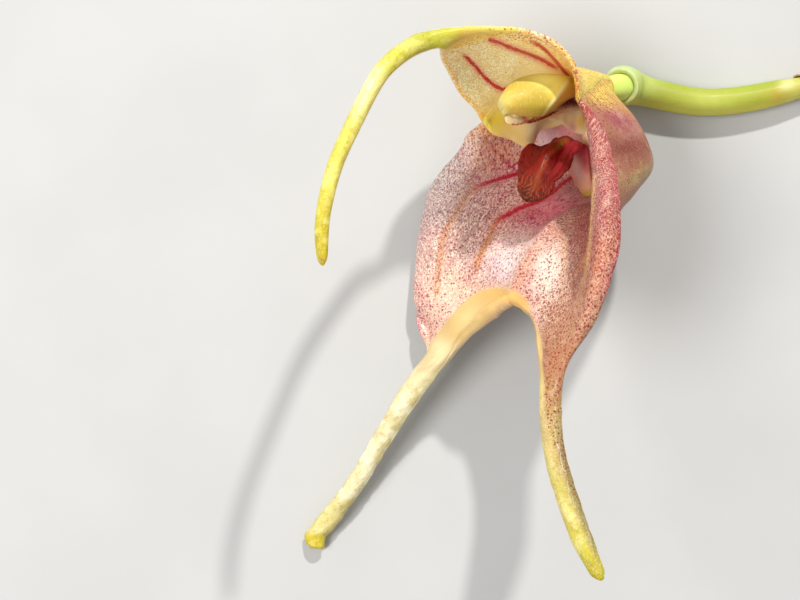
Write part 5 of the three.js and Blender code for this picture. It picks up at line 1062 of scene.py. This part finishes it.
def warp_lip(S, s, v):
    S = S.copy()
    P2 = PX(S)
    t_ = np.gradient(S, axis=0); u_ = np.gradient(S, axis=1); n = np.cross(u_, t_); n /= np.maximum(np.linalg.norm(n, axis=-1, keepdims=True), 1e-9)
    if float(np.mean(n[nl2:nl3, 30] @ FACE)) < 0:
        n = -n
    blade = step(0.34, 0.46, v)
    r1, _ = line_dist(P2, RIDGE_1); r2, _ = line_dist(P2, RIDGE_2); r3, _ = line_dist(P2, VALLEY)
    h = 0.42 * blade * step(1.02, 0.9, v) * np.exp(-(r1 / 2.6) ** 2)
    h += 0.22 * blade * step(0.98, 0.84, v) * np.exp(-(r2 / 2.6) ** 2)
    h -= 0.34 * blade * step(0.95, 0.8, v) * np.exp(-(r3 / 4.0) ** 2)
    h -= 0.16 * blade * np.exp(-((r1 - (-9)) / 5.0) ** 2) + 0 * h
    h += 0.16 * step(0.8, 1.0, np.abs(s)) * blade                      # turned-up margins
    h += 0.10 * blade * vn(np.stack([s * 4, v * 20, s * 0], -1), 1.0)
    h += 0.035 * step(0.74, 0.9, v) * np.sin(s * 40 + 1.5 * np.sin(v * 20))
    S += n * h[..., None]
    # uneven, crimped edge
    w = (np.sin(v * 74 + 4 * s) * 0.06 + 0.16 * np.sin(v * 27 + 1.0 + 2 * np.sign(s))) * step(0.7, 1.0, np.abs(s)) * blade * step(1.0, 0.95, v)
    S += (u_ / np.maximum(np.linalg.norm(u_, axis=-1, keepdims=True), 1e-9)) * (np.sign(s) * w)[..., None]
    return S


nlv = 170; nl2, nl3 = 90, 130
L3 = leaf(lip_rows(), 66, nlv, 0.62, 0.30, warp_lip)
s3, v3, P3 = L3["s"], L3["v"], L3["P2"]
blade = step(0.36, 0.5, v3)
t = np.ones((len(s3), 3)) * lin((122, 8, 8))
# the lighter crimson at (575,148) and (568,142) is the arch's own red lifted against its deep shade: partly painted
# light
t = brush(t, P3, [(534, 154, 11, 7, -10, (112, 14, 8), .85), (526, 170, 7, 14, 0, (138, 22, 12), .7), (534, 188, 10, 10, 0, (110, 32, 12), .75), (548, 178, 7, 12, 20, (92, 4, 8), .85), (561, 156, 7, 12, 20, (146, 12, 26), .9),
                  (575, 148, 10, 11, 0, (222, 66, 80), .9), (568, 142, 7, 5, 0, (206, 60, 70), .7), (562, 168, 8, 8, 0, (112, 6, 18), .8), (530, 195, 16, 8, 0, (60, 12, 5), .9), (534, 186, 14, 7, 0, (88, 20, 10), .6)])
r1, _ = line_dist(P3, RIDGE_1); r2, _ = line_dist(P3, RIDGE_2)
t = mixc(t, (170, 84, 36), 0.55 * blade * np.exp(-(r1 / 1.5) ** 2) * step(1.0, 0.93, v3) * step(130, 142, P3[:, 1]))
t = mixc(t, (150, 120, 40), 0.7 * np.exp(-(r1 / 2.2) ** 2) * step(152, 146, P3[:, 1]) * blade)
t = mixc(t, (138, 48, 20), 0.25 * blade * np.exp(-(r1 / 6) ** 2) * step(156, 170, P3[:, 1]) * step(196, 184, P3[:, 1]))
t = mixc(t, (138, 30, 26), 0.4 * blade * np.exp(-(r2 / 2.4) ** 2))
t = mixc(t, (190, 50, 66), 0.9 * step(0.40, 0.32, v3))
# the claw's pink is lifted against the shade of the sepal's rolled margin, partly painted light; the pale streak at
# (579,168) is a painted highlight
t = mixc(t, (255, 176, 158), 0.88 * step(0.32, 0.2, v3))
t = brush(t, P3, [(587, 184, 5, 9, -20, (255, 226, 186), .8)], 1.0 * step(0.36, 0.3, v3))
t = brush(t, P3, [(579, 168, 4, 13, -14, (255, 214, 204), .9), (588, 160, 5, 12, -10, (206, 70, 84), .7)], 1.0 * step(0.36, 0.3, v3))
t = mixc(t, (220, 150, 116), 0.75 * step(0.16, 0.08, v3))
t = mixc(t, (184, 150, 50), 0.9 * step(0.06, 0.01, v3))
sr = L3["src"]
m3 = np.stack([0.25 + 0.4 * step(0.6, 0.9, v3)[sr], (blade * (0.1 + 0.9 * step(0.76, 0.9, v3)))[sr], (blade * 0.22)[sr]], 1)
uv3 = np.stack([L3["um"][sr], L3["vm"][sr], (L3["lay"] < 0) * 1.0 + 15], 1)
mat_l = flesh_material("lip_flesh", rough=0.5, sss=0.1, coat=0.04, bump=0.6, glint=0.5, spec=0.18, fleck=(170, 50, 30), fleck_amt=0.1, stripes=0.5, stripecol=(160, 82, 34), stripe_freq=4.6, dotcol=(66, 8, 4), radius=(1.0, 0.25, 0.15))
piece("lip_blade", L3["V"], [L3["F"]], mat_l, ["lip"], dict(uvm=uv3, msk=m3, tint=t[sr]))


# ================================================================ round pieces
def rod_piece(name, pts, n, ns, mat, nodes, colour, msk=(0.5, 0, 0), radial=None, zid=20, extra=None):
    P, Rr = path(pts, n)
    V, F, th, ii = sweep(P, Rr, ns, radial)
    # rounded ends: four shrinking rings then a fan
    def dome(V, first):
        ring = np.arange(ns) if first else np.arange((n - 1) * ns, n * ns)
        c = V[ring].mean(0); ax = (P[0] - P[1]) if first else (P[-1] - P[-2]); ax /= np.linalg.norm(ax)
        r = np.linalg.norm(V[ring] - c, axis=1).mean(); parts = []; fs = []; prev = ring; Vc = V
        for a in (0.5, 0.85, 1.15, 1.4):
            new = c + (V[ring] - c) * math.cos(a) + ax * r * 0.75 * math.sin(a)
            idx = np.arange(len(Vc), len(Vc) + ns); Vc = np.vstack([Vc, new])
            p2, i2 = np.roll(prev, -1), np.roll(idx, -1)
            q = np.stack([prev, p2, i2, idx], 1)
            fs.append(q[:, ::-1] if first else q); prev = idx
        Vc, fan = cap_fan(Vc, None, prev, first)
        fs.append(fan if not first else fan)
        return Vc, fs
    V, f0 = dome(V, True); V, f1 = dome(V, False)
    faces = [F] + f0 + f1
    cum = chord(P)
    cl = np.linalg.norm(V[:, None, ::1] - P[None, ::3], axis=-1).argmin(1) * 3
    al = cum[np.minimum(cl, n - 1)]
    t_, U, B = frames(P)
    rel = V - P[np.minimum(cl, n - 1)]
    ang = np.arctan2((rel * B[np.minimum(cl, n - 1)]).sum(1), (rel * U[np.minimum(cl, n - 1)]).sum(1))
    al = al + (rel * t_[np.minimum(cl, n - 1)]).sum(1)
    rr = Rr[np.minimum(cl, n - 1)]
    P2 = PX(V)
    t = colour(V, P2, al, ang)
    # the way round is carried as two smooth numbers, so that nothing jumps at the seam
    uvm_ = np.stack([rr * np.cos(ang) * 1.0, al, rr * np.sin(ang) + zid], 1)
    mk = np.tile(np.array(msk, float), (len(V), 1)) if not callable(msk) else msk(V, P2, al, ang)
    if extra is not None:
        V, faces, uvm_, mk, t = extra(V, faces, uvm_, mk, t)
    return piece(name, V, faces, mat, nodes, dict(uvm=uvm_, msk=mk, tint=t))


# ---- column with its toothed wing
def col_colour(V, P2, al, ang):
    t = np.ones((len(V), 3)) * lin((238, 214, 150))
    # the dark red-brown band at (568,102) under the near petal's edge is the column's own dotted colour and painted
    # shade
    return brush(t, P2, [(568, 103, 13, 6, -12, (112, 38, 24), .97), (555, 108, 14, 6, -25, (190, 120, 60), .7), (572, 115, 6, 14, 0, (240, 222, 170), .8), (580, 123, 5, 5, 0, (240, 210, 60), .95),
                         (590, 150, 8, 24, 0, (214, 150, 130), .8), (592, 180, 8, 12, 0, (216, 170, 110), .8), (523, 117.5, 4, 4, 0, (176, 26, 44), .9), (568, 101.5, 15, 5.2, -8, (92, 24, 14), 1.0), (575, 103, 6, 4.5, 0, (92, 24, 14), .95)])


def flap(line_a, line_b, n, thick, tone, zid, wav=0.0):
    """a thin wing of flesh between two lines drawn on the grid"""
    A, B = smooth_line(line_a, n), smooth_line(line_b, n); f = np.linspace(0, 1, 9); s = np.linspace(0, 1, n)
    S = np.stack([W(A * (1 - q) + B * q + np.array([0, 0, 1.0])[None, :] * (wav * math.sin(math.pi * q) + 0.8 * wav * q * np.sin(s * 30))[:, None]) for q in f], 1)
    Vw, Fw, srw, _, _ = solidify(S.reshape(-1, 3), grid_faces(n, 9), np.full(n * 9, thick / 2), np.full(n * 9, thick / 2), rings=2)
    ff = np.tile(f, n)[srw]; aa = np.repeat(s, 9)[srw]
    return Vw, Fw, ff, aa, np.stack([ff * 1.2, aa * 4, np.full(len(Vw), zid)], 1), tone(PX(Vw), ff, aa)


def foot_tone(P2, f, a):
    t = np.ones((len(P2), 3)) * lin((250, 230, 172))
    # the dark red-brown band at (568,102) under the near petal's edge is the foot's own dotted colour and painted shade
    return brush(t, P2, [(568, 103, 14, 4.6, -10, (108, 36, 24), .97), (580, 122, 5, 5, 0, (240, 212, 50), .98), (573, 112, 3.5, 12, 0, (246, 232, 188), .8), (572, 128, 8, 5, 0, (220, 158, 150), .8), (550, 116, 12, 4, -20, (236, 206, 130), .7), (585, 112, 4, 12, 0, (196, 120, 90), .7), (568, 102, 15, 4.4, -8, (92, 24, 14), 1.0)])


def wing(V, faces, uvm_, mk, t):
    Vw, Fw, f, a, uw, tw = flap([(540,110,-27),(550,106,-34),(562,103,-43),(574,101,-53),(586,103,-62)], [(541,116,-27),(551,118.5,-36),(562,122.5,-47),(574,131,-60),(586,134,-66)], 60, 0.30, foot_tone, 39.0, 0.35)
    V, faces, uvm_, mk, t = np.vstack([V, Vw]), faces + [Fw + len(V)], np.vstack([uvm_, uw]), np.vstack([mk, np.tile([0.5, 0, 0], (len(Vw), 1))]), np.vstack([t, tw])
    line = smooth_line([(583,99,-50),(577,101,-44),(568,103.5,-38),(556,109.5,-29),(545,115.5,-20),(536,119,-14),(527,121.5,-9)], 150)
    up = W(line + np.array([0, -5.5, -4.0])); s = np.linspace(0, 1, 150)
    teeth = 0.9 + 0.55 * np.abs(np.sin(s * 62 + 1.4 * np.sin(s * 17))) * step(0, .1, s) * step(1, .92, s)
    lo = W(line + np.stack([0 * s, teeth * 1.6, 0 * s], 1))
    S = np.stack([up * (1 - f) + lo * f for f in (0, .25, .5, .75, .9, 1.0)], 1)
    Vw, Fw, srw, lyw, _ = solidify(S.reshape(-1, 3), grid_faces(150, 6), np.full(900, 0.07), np.full(900, 0.07), rings=1)
    f = np.tile(np.array([0, .25, .5, .75, .9, 1.0]), 150)[srw]; a = np.repeat(s, 6)[srw]
    tw = np.ones((len(Vw), 3)) * lin((206, 168, 90))
    tw = mixc(tw, (150, 78, 46), 0.9 * step(0.62, 0.3, a)); tw = mixc(tw, (140, 16, 30), step(0.55, 0.9, f) * 0.95)
    uw = np.stack([f * 0.6, a * 7, np.full(len(Vw), 33.0)], 1)
    return (np.vstack([V, Vw]), faces + [Fw + len(V)], np.vstack([uvm_, uw]), np.vstack([mk, np.tile([0.3, 0, 0.5], (len(Vw), 1))]), np.vstack([t, tw]))


mat_c = flesh_material("column_wax", rough=0.34, sss=0.2, coat=0.25, bump=0.3, fleck_amt=0.25, dotcol=(150, 30, 30))
rod_piece("column_body", COL, 110, 40, mat_c, ["column"], col_colour,
          msk=lambda V, P2, al, ang: np.stack([np.full(len(V), .5), 0 * al, 0.75 * np.exp(-((P2[:, 0] - 568) / 14) ** 2 - ((P2[:, 1] - 101) / 8) ** 2)], 1), extra=wing)


# ---- anther cap with its ragged dark fringe
def cap_colour(V, P2, al, ang):
    t = np.ones((len(V), 3)) * lin((255, 226, 136))
    return brush(t, P2, [(524, 117.5, 4.5, 4, 0, (196, 40, 42), .9), (514, 122, 10, 3, 5, (246, 186, 118), .8), (510, 114, 6, 4, 0, (248, 232, 180), .6)])


def fringe(V, faces, uvm_, mk, t):
    line = smooth_line([(505,117.5,3),(507,121.5,3.5),(511,123.4,3),(517,123.6,0.5),(523,122.6,-4),(529,120.4,-9)], 150); s = np.linspace(0, 1, 150)
    jag = 0.3 + 1.1 * np.abs(np.sin(s * 37 + 2 * np.sin(s * 21))) * (0.5 + 0.5 * np.abs(np.sin(s * 9 + 1)))
    up = W(line + np.array([1.5, -6.5, 1.2])); lo = W(line + np.stack([0 * s, jag, 0.8 + 0 * s], 1))
    S = np.stack([up * (1 - f) + lo * f for f in (0, .3, .55, .8, 1.0)], 1)
    Vw, Fw, srw, lyw, _ = solidify(S.reshape(-1, 3), grid_faces(150, 5), np.full(750, 0.05), np.full(750, 0.05), rings=1)
    f = np.tile(np.array([0, .3, .55, .8, 1.0]), 150)[srw]; a = np.repeat(s, 5)[srw]
    tw = np.ones((len(Vw), 3)) * lin((250, 220, 166))
    tw = mixc(tw, (170, 22, 40), step(0.84, 0.98, f + 0.1 * np.sin(a * 40)) * step(0.22, 0.34, a)); tw = mixc(tw, (206, 84, 84), 0.75 * step(0.6, 0.8, a) * step(0.2, 0.6, f))
    uw = np.stack([f * 0.5, a * 2.5, np.full(len(Vw), 36.0)], 1)
    return (np.vstack([V, Vw]), faces + [Fw + len(V)], np.vstack([uvm_, uw]), np.vstack([mk, np.tile([0.4, 0, 0], (len(Vw), 1))]), np.vstack([t, tw]))


mat_cap = flesh_material("cap_wax", rough=0.36, sss=0.5, coat=0.2, bump=0.5, fleck_amt=0.3)
rod_piece("anther_cap_body", CAP, 30, 40, mat_cap, ["anther_cap"], cap_colour, radial=lambda i, th: 1 + 0.035 * np.sin(3 * th + .5) + 0.02 * np.sin(7 * th + i * .3), zid=24, extra=fringe)


# ---- ovary and pedicel
def ov_colour(V, P2, al, ang):
    t = np.ones((len(V), 3)) * lin((216, 238, 118))
    # painted light and shade: lighter along the top at (612,78), darker along the bottom at (612,98)
    t = brush(t, P2, [(612, 78, 10, 5, 0, (240, 232, 128), .9), (612, 98, 12, 6, 0, (196, 184, 60), .85), (603, 84, 5, 10, 0, (230, 196, 84), .6)])
    return t


mat_ov = flesh_material("pedicel_skin", rough=0.46, sss=0.35, coat=0.06, bump=0.22, fleck_amt=0.15, grain=(1.0, 0.4))
rod_piece("ovary_body", OVARY, 46, 64, mat_ov, ["ovary"], ov_colour, radial=lambda i, th: 1 + 0.012 * np.cos(6 * th + .4), zid=28)

# ---- stem, swollen bract and its socket, in one skin
ped = [p for p in PED] + [(p[0], p[1], p[2], p[3]) for p in BRACT]
ns, nst = 72, 420
Pp, Rp = path(PED[:-1] + [(646, 91.4, -120.2, 15.1)] + BRACT[1:], nst)
cum = chord(Pp)


def stem_rad(i, th):
    a = cum[np.minimum(i, nst - 1)]
    q = 1 + 0.010 * np.cos(2 * th + 0.3 + a * 0.05) + 0.008 * np.cos(5 * th + a * 0.11)
    q = q + 0.008 * vn(np.stack([np.cos(th) * 1.1, a * 0.35, np.sin(th) * 1.1], -1), 1.0)
    return q


Vp, Fp, thp, iip = sweep(Pp, Rp, ns, stem_rad)
al = cum[iip]; tp, Up, Bp = frames(Pp)
faces = [Fp]
# rolled rim of the socket, then its wall and floor
ring = np.arange((nst - 1) * ns, nst * ns); c_end = Pp[-1]; ax = tp[-1]; rim_r = Rp[-1]
prev = ring; Vc = Vp; alx = [al]; kx = [np.zeros(len(Vp))]
radv = Vp[ring] - c_end; radv /= np.linalg.norm(radv, axis=1, keepdims=True)
ped_r = 1.235
for rr, off in ((rim_r - 0.04, 0.06), (rim_r - 0.12, 0.11), (rim_r - 0.22, 0.12), (0.5 * (rim_r - 0.22) + 0.5 * (ped_r + 0.10), 0.07), (ped_r + 0.10, 0.0), (ped_r + 0.05, -0.04), (ped_r + 0.025, -0.10), (ped_r + 0.02, -0.35), (ped_r + 0.02, -0.7), (0.5, -0.72)):
    new = c_end + radv * rr + ax * off
    idx = np.arange(len(Vc), len(Vc) + ns); Vc = np.vstack([Vc, new])
    faces.append(np.stack([prev, np.roll(prev, -1), np.roll(idx, -1), idx], 1)); prev = idx
    alx.append(np.full(ns, cum[-1] + off)); kx.append(np.full(ns, 1.0 if off > -0.02 else 0.4))
Vc, fan = cap_fan(Vc, None, prev, False); faces.append(fan); alx.append([cum[-1] - .7]); kx.append([0.3])
# the cut end: a slightly sunk pith inside a crisp edge
ring = np.arange(ns); c0 = Pp[0]; ax0 = -tp[0]; rad0 = Vp[ring] - c0; r0 = np.linalg.norm(rad0, axis=1).mean(); prev = ring
for f_, off in ((0.985, 0.02), (0.93, 0.03), (0.86, -0.02), (0.6, -0.06), (0.3, -0.045)):
    new = c0 + rad0 * f_ + ax0 * off
    idx = np.arange(len(Vc), len(Vc) + ns); Vc = np.vstack([Vc, new])
    faces.append(np.stack([prev, np.roll(prev, -1), np.roll(idx, -1), idx], 1)[:, ::-1]); prev = idx
    alx.append(np.full(ns, -off)); kx.append(np.full(ns, 2.0))
Vc, fan = cap_fan(Vc, None, prev, True); faces.append(fan); alx.append([0.0]); kx.append([2.0])
al = np.concatenate([np.ravel(a) for a in alx]); kind = np.concatenate([np.ravel(a) for a in kx])
P2 = PX(Vc); cen = np.stack([np.interp(al, cum, Pp[:, k]) for k in range(3)], 1)
up = (Vc - cen); rlen = np.linalg.norm(up, axis=1); hy = up[:, 1] / np.maximum(rlen, 1e-6)      # +1 on the upper picture side
t = np.ones((len(Vc), 3)) * lin((162, 168, 55))
# painted light: the lower side of the stem is lighter to offset its shade; the upper side is greener
t = mixc(t, (158, 180, 52), 0.75 * step(0.35, 1.0, hy))
t = mixc(t, (208, 196, 78), 0.8 * step(-0.25, -0.9, hy))
# the pale spot at (788,84) by the sheath mouth is a painted highlight
t = brush(t, P2, [(706, 104, 30, 12, 0, (196, 204, 96), .6), (778, 96, 9, 7, -15, (190, 160, 60), .7), (788, 84, 8, 6, -15, (232, 222, 168), .8)], 1.0 * (P2[:, 0] < 800))
# painted highlight: the pale spots on top of the bract's hood at (612,72) and (628,72)
t = brush(t, P2, [(628, 72, 22, 14, 20, (196, 222, 156), .95), (642, 84, 14, 16, 0, (190, 204, 104), .7), (612, 72, 8, 6, 0, (226, 240, 200), .8)])
t = mixc(t, (214, 228, 168), 0.8 * (kind == 1.0))
hidden = step(9.0, 12.0, al) * step(19.5, 17.5, al)
t = mixc(t, (206, 196, 108), 0.5 * hidden)
t = mixc(t, (226, 222, 160), 0.9 * (kind == 2.0))
t = mixc(t, (150, 176, 90), 0.75 * (kind == 2.0) * step(0.84 * r0, 0.97 * r0, rlen))
# node ring near the base
t = mixc(t, (168, 160, 78), 0.55 * np.exp(-((al - 3.6) / 0.5) ** 2) * (kind == 0))
mkp = np.stack([np.full(len(Vc), 0.35), np.full(len(Vc), 1.0), 0.12 * (kind == 0) * step(20, 12, al) + 0.0], 1)
uvp = np.stack([up[:, 2] * 1.0, al, up[:, 1] * 1.0 + 40], 1)
mat_s = flesh_material("stem_skin", rough=0.52, sss=0.3, coat=0.03, bump=0.22, fleck_amt=0.12, grain=(1.4, 0.25), stripes=0.10, stripecol=(150, 176, 70), dotcol=(140, 110, 60), fleck=(236, 240, 180))
piece("stem_and_bract", Vc, faces, mat_s, ["peduncle", "floral_bract"], dict(uvm=uvp, msk=mkp, tint=t))

# ---- papery sheath round the lower stem
SH0, SH1 = 0.255, 0.535
Ps, Rs = path(PED, 260)
i0, i1 = int(SH0 * 259), int(SH1 * 259)
Pq, Rq = Ps[i0:i1 + 1], Rs[i0:i1 + 1]; nq = len(Pq); nsq = 72; cq = chord(Pq); Lq = cq[-1]


def lean(I, T):
    f = (np.asarray(cq)[I] / Lq)
    m = step(0.62, 1.0, f)
    cleft = -0.9 * np.exp(-((np.angle(np.exp(1j * (T - 4.4)))) / 0.22) ** 2)
    return m * (0.62 * np.cos(T - 1.2) + cleft + 0.10 * np.sin(7 * T + 1) + 0.07 * np.sin(17 * T))


def pleat(I, T):
    f = (np.asarray(cq)[I] / Lq)
    return 1 + 0.018 * np.cos(16 * T + 2 * f) * step(0.05, 0.4, f) + 0.02 * np.sin(2 * T + 9 * f) + 0.02 * step(0.8, 1.0, f) * np.cos(3 * T + 1) + 0.018 * np.exp(-(f / 0.03) ** 2)


Vo, Fo, tho, io = sweep(Pq, Rq + 0.30, nsq, pleat, lean)
Vi, Fi, thi, ii_ = sweep(Pq, Rq + 0.17, nsq, pleat, lean)
nO = len(Vo); Vq = np.vstack([Vo, Vi]); fq = [Fo, Fi[:, ::-1] + nO]
for ringi, fl_ in ((0, True), (nq - 1, False)):
    a = np.arange(ringi * nsq, (ringi + 1) * nsq); b = a + nO
    q = np.stack([a, np.roll(a, -1), np.roll(b, -1), b], 1)
    fq.append(q[:, ::-1] if fl_ else q)
Vq[:, 2] = np.maximum(Vq[:, 2], 0.0)
alq = np.concatenate([cq[io], cq[ii_]]); thq = np.concatenate([tho, thi]); inn = np.concatenate([np.zeros(nO), np.ones(len(Vi))])
t = np.ones((len(Vq), 3)) * lin((186, 154, 82))
t = mixc(t, (150, 118, 62), 0.5 * step(-0.2, 1.0, -np.sin(thq)))
t = mixc(t, (214, 196, 140), 0.8 * step(0.72, 1.0, alq / Lq))
t = mixc(t, (232, 220, 180), 0.6 * step(0.96, 1.0, alq / Lq))
t = mixc(t, (150, 116, 60), 0.6 * step(0.1, 0.0, alq / Lq))
t = mixc(t, (214, 196, 130), 0.4 * inn)
cenq = np.concatenate([Pq[io], Pq[ii_]])
uvq = np.stack([thq * 1.1, alq * 0.5, inn + 50], 1)
relq = Vq - cenq
uvq = np.stack([np.cos(thq) * 1.15, alq, np.sin(thq) * 1.15 + 50], 1)
mkq = np.stack([np.full(len(Vq), 0.5), np.full(len(Vq), 1.0), np.full(len(Vq), 0.2)], 1)
mat_q = flesh_material("sheath_paper", rough=0.55, sss=0.15, coat=0.0, bump=0.6, fleck_amt=0.35, grain=(2.2, 0.22), stripes=0.6, stripecol=(122, 90, 46), stripe_freq=3.4, dotcol=(100, 70, 36), fleck=(240, 226, 176), spec=0.35)
piece("sheath_tube", Vq, fq, mat_q, ["peduncle_sheath"], dict(uvm=uvq, msk=mkq, tint=t))

# ================================================================ floor, light and camera
floor_me = bpy.data.meshes.new("floor")
floor_me.from_pydata([(-1.2, -1.2, 0), (1.2, -1.2, 0), (1.2, 1.2, 0), (-1.2, 1.2, 0)], [], [(0, 1, 2, 3)])
floor_ob = bpy.data.objects.new("floor", floor_me)
scene.collection.objects.link(floor_ob)
fm = Mat("floor_paint")
fn = fm.noise(fm.new("ShaderNodeTexCoord").outputs["Object"], 60.0, 3.0, 0.5)
fm.surface(fm.mix(fm.step(fn, 0.3, 0.7), tuple(lin((190, 190, 188))), tuple(lin((194, 194, 192)))), 0.7, spec=0.2)
floor_me.materials.append(fm.m)


def area(name, pos, target, size, power, color=(1, 1, 1)):
    l = bpy.data.lights.new(name, "AREA"); l.shape = "DISK"; l.size = size; l.energy = power; l.color = color
    o = bpy.data.objects.new(name, l); scene.collection.objects.link(o)
    o.location = pos
    o.rotation_euler = (Vector(target) - Vector(pos)).to_track_quat("-Z", "Y").to_euler()
    return o


mid = (-0.008, 0.004, 0.014)
KEY = Vector((math.cos(math.radians(76)) * math.cos(math.radians(39)), math.sin(math.radians(76)) * math.cos(math.radians(39)), math.sin(math.radians(39))))
area("key", tuple(Vector(mid) + KEY * 0.50), mid, 0.026, 2.16, (1.0, 0.985, 0.95))
area("fill", (-0.26, -0.02, 0.40), mid, 0.22, 1.5, (1.0, 0.99, 0.98))
world = bpy.data.worlds.new("studio"); scene.world = world; world.use_nodes = True
world.node_tree.nodes["Background"].inputs[0].default_value = (0.99, 0.985, 1.0, 1)
world.node_tree.nodes["Background"].inputs[1].default_value = 0.48

cam = bpy.data.cameras.new("camera"); co = bpy.data.objects.new("camera", cam)
scene.collection.objects.link(co)
cam.lens = 100; cam.sensor_width = 36; cam.clip_start = 0.01; cam.clip_end = 5
co.location = (-OR[0] * 0.001, -OR[1] * 0.001, (CAMH - OR[2]) * 0.001)
scene.camera = co
scene.view_settings.view_transform = "Standard"
scene.view_settings.look = "None"

bpy.context.view_layer.update()
